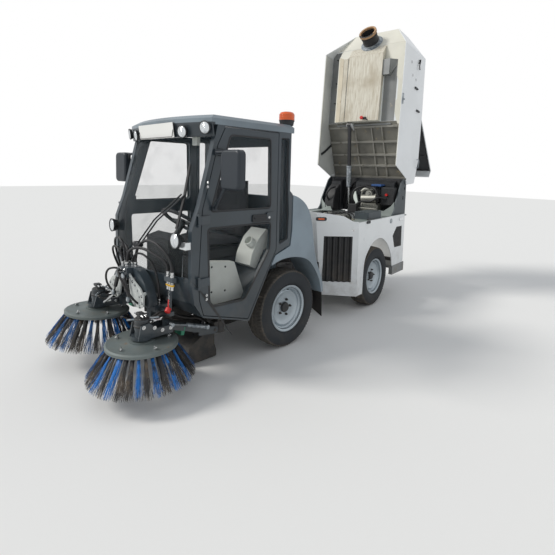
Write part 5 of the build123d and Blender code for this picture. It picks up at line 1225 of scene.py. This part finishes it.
seat_pad = cushion(at(0, -478, 936), (395, -15), 0.048, 0.196, 0.222)
back_pad = cushion(at(0, -228, 1222), (34, 505), 0.036, 0.252, 0.216)
for name, pad, replaced in (("seat_cushion", seat_pad, ["seat"]), ("seat_back", back_pad, ())):
    made = piece(name, "front_module", "seat", pad, sharp=60, stands_for=replaced)
base = [block(at(-150, -640, 521.5), at(150, -505, 800), 0.01),
        block(at(-200, -660, 800), at(200, -300, 905), 0.02)]
back_board = plate(ats((-190, -196, 960), (190, -196, 960), (170, -177, 1470), (-170, -177, 1470)),
                   (0, 14, 0))
rails = [block(at(x, -680, 528), at(x + 30, -330, 560), 0.004) for x in (-190, 160)]
piece("seat_base", "front_module", "black_plastic", *base, back_board, *rails)
side_cover, hatch, tray = [plate(ats(*[(x, y, z) for y, z in outline]), (across, 0, 0))
                           for x, across, outline in (
    (470, -70, [(-850, 524), (-440, 524), (-470, 600), (-560, 835), (-850, 875)]),
    (470.5, 3, [(-800, 610), (-640, 600), (-640, 830), (-800, 850)]),
    (500, -190, [(-420, 790), (-330, 740), (-200, 780), (-200, 1050), (-240, 1075), (-330, 1000),
                 (-400, 880)]))]
piece("side_cover", "front_module", "cover", side_cover, hatch, tray)
piece("cover_screws", "front_module", "black_plastic",
      bolts([at(473.8, y, z) for y, z in ((-785, 825), (-655, 620), (-785, 630), (-655, 810))],
            (1, 0, 0), 0.005))
piece("cup_holder", "front_module", "cover",
      spun([(0.034, 0), (0.042, 0), (0.042, 0.05), (0.034, 0.052), (0.030, 0.004), (0, 0.004), (0, 0),
            (0.034, 0)], 24, at(440, -352, 958), (0, -0.78, 0.62)))
piece("floor_mat", "front_module", "mat", block(at(245, -930, 521.4), at(555, -330, 524), 0.001),
      *[block(at(250 + 22 * k, -925, 524), at(260 + 22 * k, -335, 527), 0.001) for k in range(14)])
tube = [(0.192 + 0.0155 * cos(a), 0.0155 * sin(a)) for a in np.linspace(0, 2 * pi, 13)]
column_tilt = radians(35)
piece("steering_grip", "front_module", "black_plastic",
      spun(tube, 48, at(0, -730, 1120), (0, sin(column_tilt), cos(column_tilt))))
print("after seat", made_count)

# %% [markdown]
# Lamps: the two low lamps are ribbed lenses in black bowls on the wings of the front frame. The
# visor holds four round lamps, two each side, in bezels. The lens of each is a shallow dome with
# fine rings, over a mirror finish, so it glints as a real reflector does. The plate gets a frame,
# and a small pale box hangs behind the windscreen's upper edge.

# %% Lamps and plate
PLATE_HIGH, VISOR_BOW, CAB_HALF = 1852, 102, 600


def lamp_glass(radius, deep):
    """Dome with nine rings: height = deep (1 - (r/R)^2) + a small ripple with r."""
    r = np.linspace(0, radius, 55)
    z = deep * (1 - (r / radius) ** 2) + 0.0006 * np.cos(r / radius * 9 * 2 * pi)
    return list(zip(r, z))[::-1]


def visor_face(x, z):
    """How far behind the axle the visor's face is: its edge line less a bow, squared in x."""
    return -876 - 14 * (z - 1800) / 89.3 - VISOR_BOW * (1 - (x / CAB_HALF) ** 2)


BOWL = [(0, -0.058), (0.020, -0.058), (0.042, -0.040), (0.054, -0.006), (0.0565, 0.0), (0.0565, 0.007),
        (0.052, 0.007), (0.051, 0.0), (0, 0.0)]
BEZEL = [(0.0415, 0), (0.048, 0), (0.048, 0.0042), (0.0458, 0.006), (0.0425, 0.006), (0.0405, 0.0024),
         (0.0415, 0)]
COLLET = [(0.0365, -0.020), (0.0400, -0.020), (0.0475, 0.002), (0.0365, 0.002), (0.0365, -0.020)]
for side, name in SIDES:
    low, outwards = at(side * 499, -1122.5, 1068), (side * 0.06, -1, 0)
    piece(f"low_lamp_bowl_{name}", "front_module", "black_plastic", spun(BOWL, 40, low, outwards))
    piece(f"low_lamp_lens_{name}", "front_module", "lamp",
          spun(lamp_glass(0.051, 0.009), 40, low + 0.001 * unit(np.array(outwards)), outwards))
    for number, (x, z) in enumerate(((348, 1839), (555, 1862))):
        facing = unit(np.array([2 * VISOR_BOW * side * x / CAB_HALF ** 2, -1, -0.157]))
        foot = at(side * x, visor_face(x, z), z) + facing * 0.0255
        piece(f"visor_lamp_bezel_{name}_{number}", "front_module", "black_plastic",
              spun(BEZEL, 40, foot, facing), spun(COLLET, 40, foot, facing))
        piece(f"visor_lamp_lens_{name}_{number}", "front_module", "lamp",
              spun(lamp_glass(0.0425, 0.008), 40, foot + facing * 0.0022, facing))
upright = np.array([(1, 0, 0, 0), (0, 0, -1, 0), (0, 1, 0, 0), (0, 0, 0, 1)], float)
lean_back = shift(at(0, visor_face(0, PLATE_HIGH) - 5.1, PLATE_HIGH)) @ turn("X", -8.9, (0, 0, 0)) @ upright
edge = rounded(oblong(259, 54.5), 8) / 1000
edge_in = inset(edge, 0.004)
border = surface(np.stack([np.c_[line, np.full(len(line), high)] for line, high in (
    (edge, -0.003), (edge, 0.0012), (edge_in, 0.0012), (edge_in, 0.0), (edge, -0.003))]))
piece("plate_frame", "front_module", "black_plastic", moved(border, lean_back))
piece("visor_box", "front_module", "cover", block(at(318, -862, 1742), at(382, -836, 1808), 0.004))
print("after lamps", made_count)

# %% [markdown]
# The beacon is an amber dome with inner rings on a black foot. The mirrors have their glass on the
# driver's side. The wiper carries a rubber blade in a thin bow.

# %% Beacon, mirrors and wiper
spot = at(512, -40, 1955.3)
piece("beacon_foot", "front_module", "black_plastic",
      spun([(0, 0), (0.0575, 0), (0.0635, 0.034), (0.0672, 0.037), (0.0672, 0.043), (0.060, 0.045),
            (0, 0.045)], 40, spot, UP))
piece("beacon_rings", "front_module", "amber", *[
    spun([(0.0655, z), (0.0675, z + 0.001), (0.0675, z + 0.003), (0.0655, z + 0.004), (0.0655, z)],
         40, spot, UP) for z in (0.050, 0.062, 0.074, 0.086)])
for side, name in SIDES:
    facing_back = np.array([(1, 0, 0, 0), (0, 0, 1, 0), (0, 1, 0, 0), (0, 0, 0, 1)], float)
    facing_back[:3, 3] = at(side * 815, -844.6, 1566)
    piece(f"mirror_glass_{name}", f"door_{name}", "steel",
          moved(lozenge(90, 126, 34, 0.003, 0.001), facing_back))
    piece(f"mirror_knuckle_{name}", f"door_{name}", "black_plastic",
          rod(at(side * 606, -815, 1664), at(side * 606, -815, 1716), 0.020, 16),
          rod(at(side * 700, -862, 1688), at(side * 730, -862, 1640), 0.014, 12))
section = np.array([(-0.004, -0.010), (0.004, -0.010), (0.002, 0.010), (-0.002, 0.010)])
blade = sweep(ats((451, -968.5, 1606), (462, -1001, 1480), (471, -1030, 1368), (476, -1063, 1260),
                  (481, -1099, 1146)), section, (1, 0, 0))
wiper_caps = [spun([(0, 0), (0.022, 0), (0.022, 0.014), (0.014, 0.020), (0, 0.021)], 20,
                   at(x, -1172.5, 985), FORWARD) for x in (30, 74)]
piece("wiper_blade", "front_module", "hose", blade, slot="black_plastic")
piece("wiper_caps", "front_module", "black_plastic", *wiper_caps)
print("after wiper", made_count)

# %% [markdown]
# ## Wings and rear body
# A rubber flap hangs behind each front wheel on a zinc bar. The rear body's nose has a raised
# crest and an amber marker in an oval rim. Its sides have a small lamp, a rubber catch, a plain
# round disc, a lip round the wheel arch and two screws. The left side's shapes are made once and
# reflected for the right, and all of them ride the rear half, so the steering's matrix places them.

# %% Flaps, crest, markers, lips and screws
for side, name in SIDES:
    flap = plate(ats((side * 335, 428, 440), (side * 585, 428, 440), (side * 585, 440, 178),
                     (side * 335, 436, 290)), (0, 6, 0))
    piece(f"mud_flap_{name}", "front_module", "hose", flap, slot="black_plastic")
    piece(f"mud_flap_bar_{name}", "front_module", "galvanised",
          strip(at(side * 335, 426, 430), at(side * 585, 426, 430), 8, 22),
          bolts([at(side * x, 421, 430) for x in (360, 460, 560)], FORWARD, 0.006))

ALONG_NOSE, OUT_OF_NOSE = np.array([0.732, 0.681, 0]), np.array([0.681, -0.732, 0])
crest_line = [(600, 1019.7, 1045), (558, 981, 1046), (478, 907, 1104), (368, 804, 1125), (264, 707, 1140),
              (150, 707, 1142)]
crest_top, crest_low = ats(*crest_line), ats(*[(x, back, 1030.5) for x, back, _ in crest_line])
inwards = -0.010 * OUT_OF_NOSE
crest = surface(np.stack([crest_low, crest_top, crest_top + inwards, crest_low + inwards], 1))
nose_side = np.eye(4)
nose_side[:3, 0], nose_side[:3, 1], nose_side[:3, 2] = ALONG_NOSE, UP, OUT_OF_NOSE
nose_side[:3, 3] = at(300, 741, 1071) + OUT_OF_NOSE * 0.0005
badge = spun([(0, 0), (0.030, 0), (0.030, 0.004), (0.026, 0.005), (0.024, 0.003), (0, 0.003)], 32,
             at(600.6, 1875, 986), (1, 0, 0))
catch = join(block(at(584, 1236, 1046), at(606, 1290, 1062), 0.005),
             block(at(584, 1290, 1046), at(599, 1420, 1058), 0.005),
             block(at(600.6, 1200, 1008), at(612, 1280, 1040), 0.005))
ARCH = ats(*[(597.5, back, high) for back, high in (
    (1145, 231), (1170, 580), (1287, 735), (1419, 807), (1605, 821), (1793, 734), (1930, 573), (1983, 410))])
screws = bolts([at(560, 983, 955) + OUT_OF_NOSE * 0.0006, at(560, 992.5, 379) + OUT_OF_NOSE * 0.0006],
               OUT_OF_NOSE, 0.007)
LEFT_SIDE = [
    ("nose_crest", "white", crest),
    ("nose_marker", "amber", moved(lozenge(34, 9, 8.55, 0.011, 0.002), nose_side)),
    ("nose_marker_rim", "black_plastic", moved(lozenge(58, 19, 18.05, 0.008, 0.002), nose_side)),
    ("side_lamp", "lamp", moved(lozenge(66, 22, 20.9, 0.009, 0.003), on_side(600.6, 2198, 988))),
    ("side_catch", "black_plastic", catch),
    ("side_badge", "galvanised", badge),
    ("arch_lip", "white", sweep(smooth(ARCH), oblong(0.015, 0.0045), (1, 0, 0))),
    ("side_screws", "steel", screws)]
for side, name in SIDES:
    for part, finish, (points, cells) in LEFT_SIDE:
        piece(f"{part}_{name}", "rear_module", finish, (points * [side, 1, 1], cells[:, ::side]), place=STEER)
print("after body", made_count)
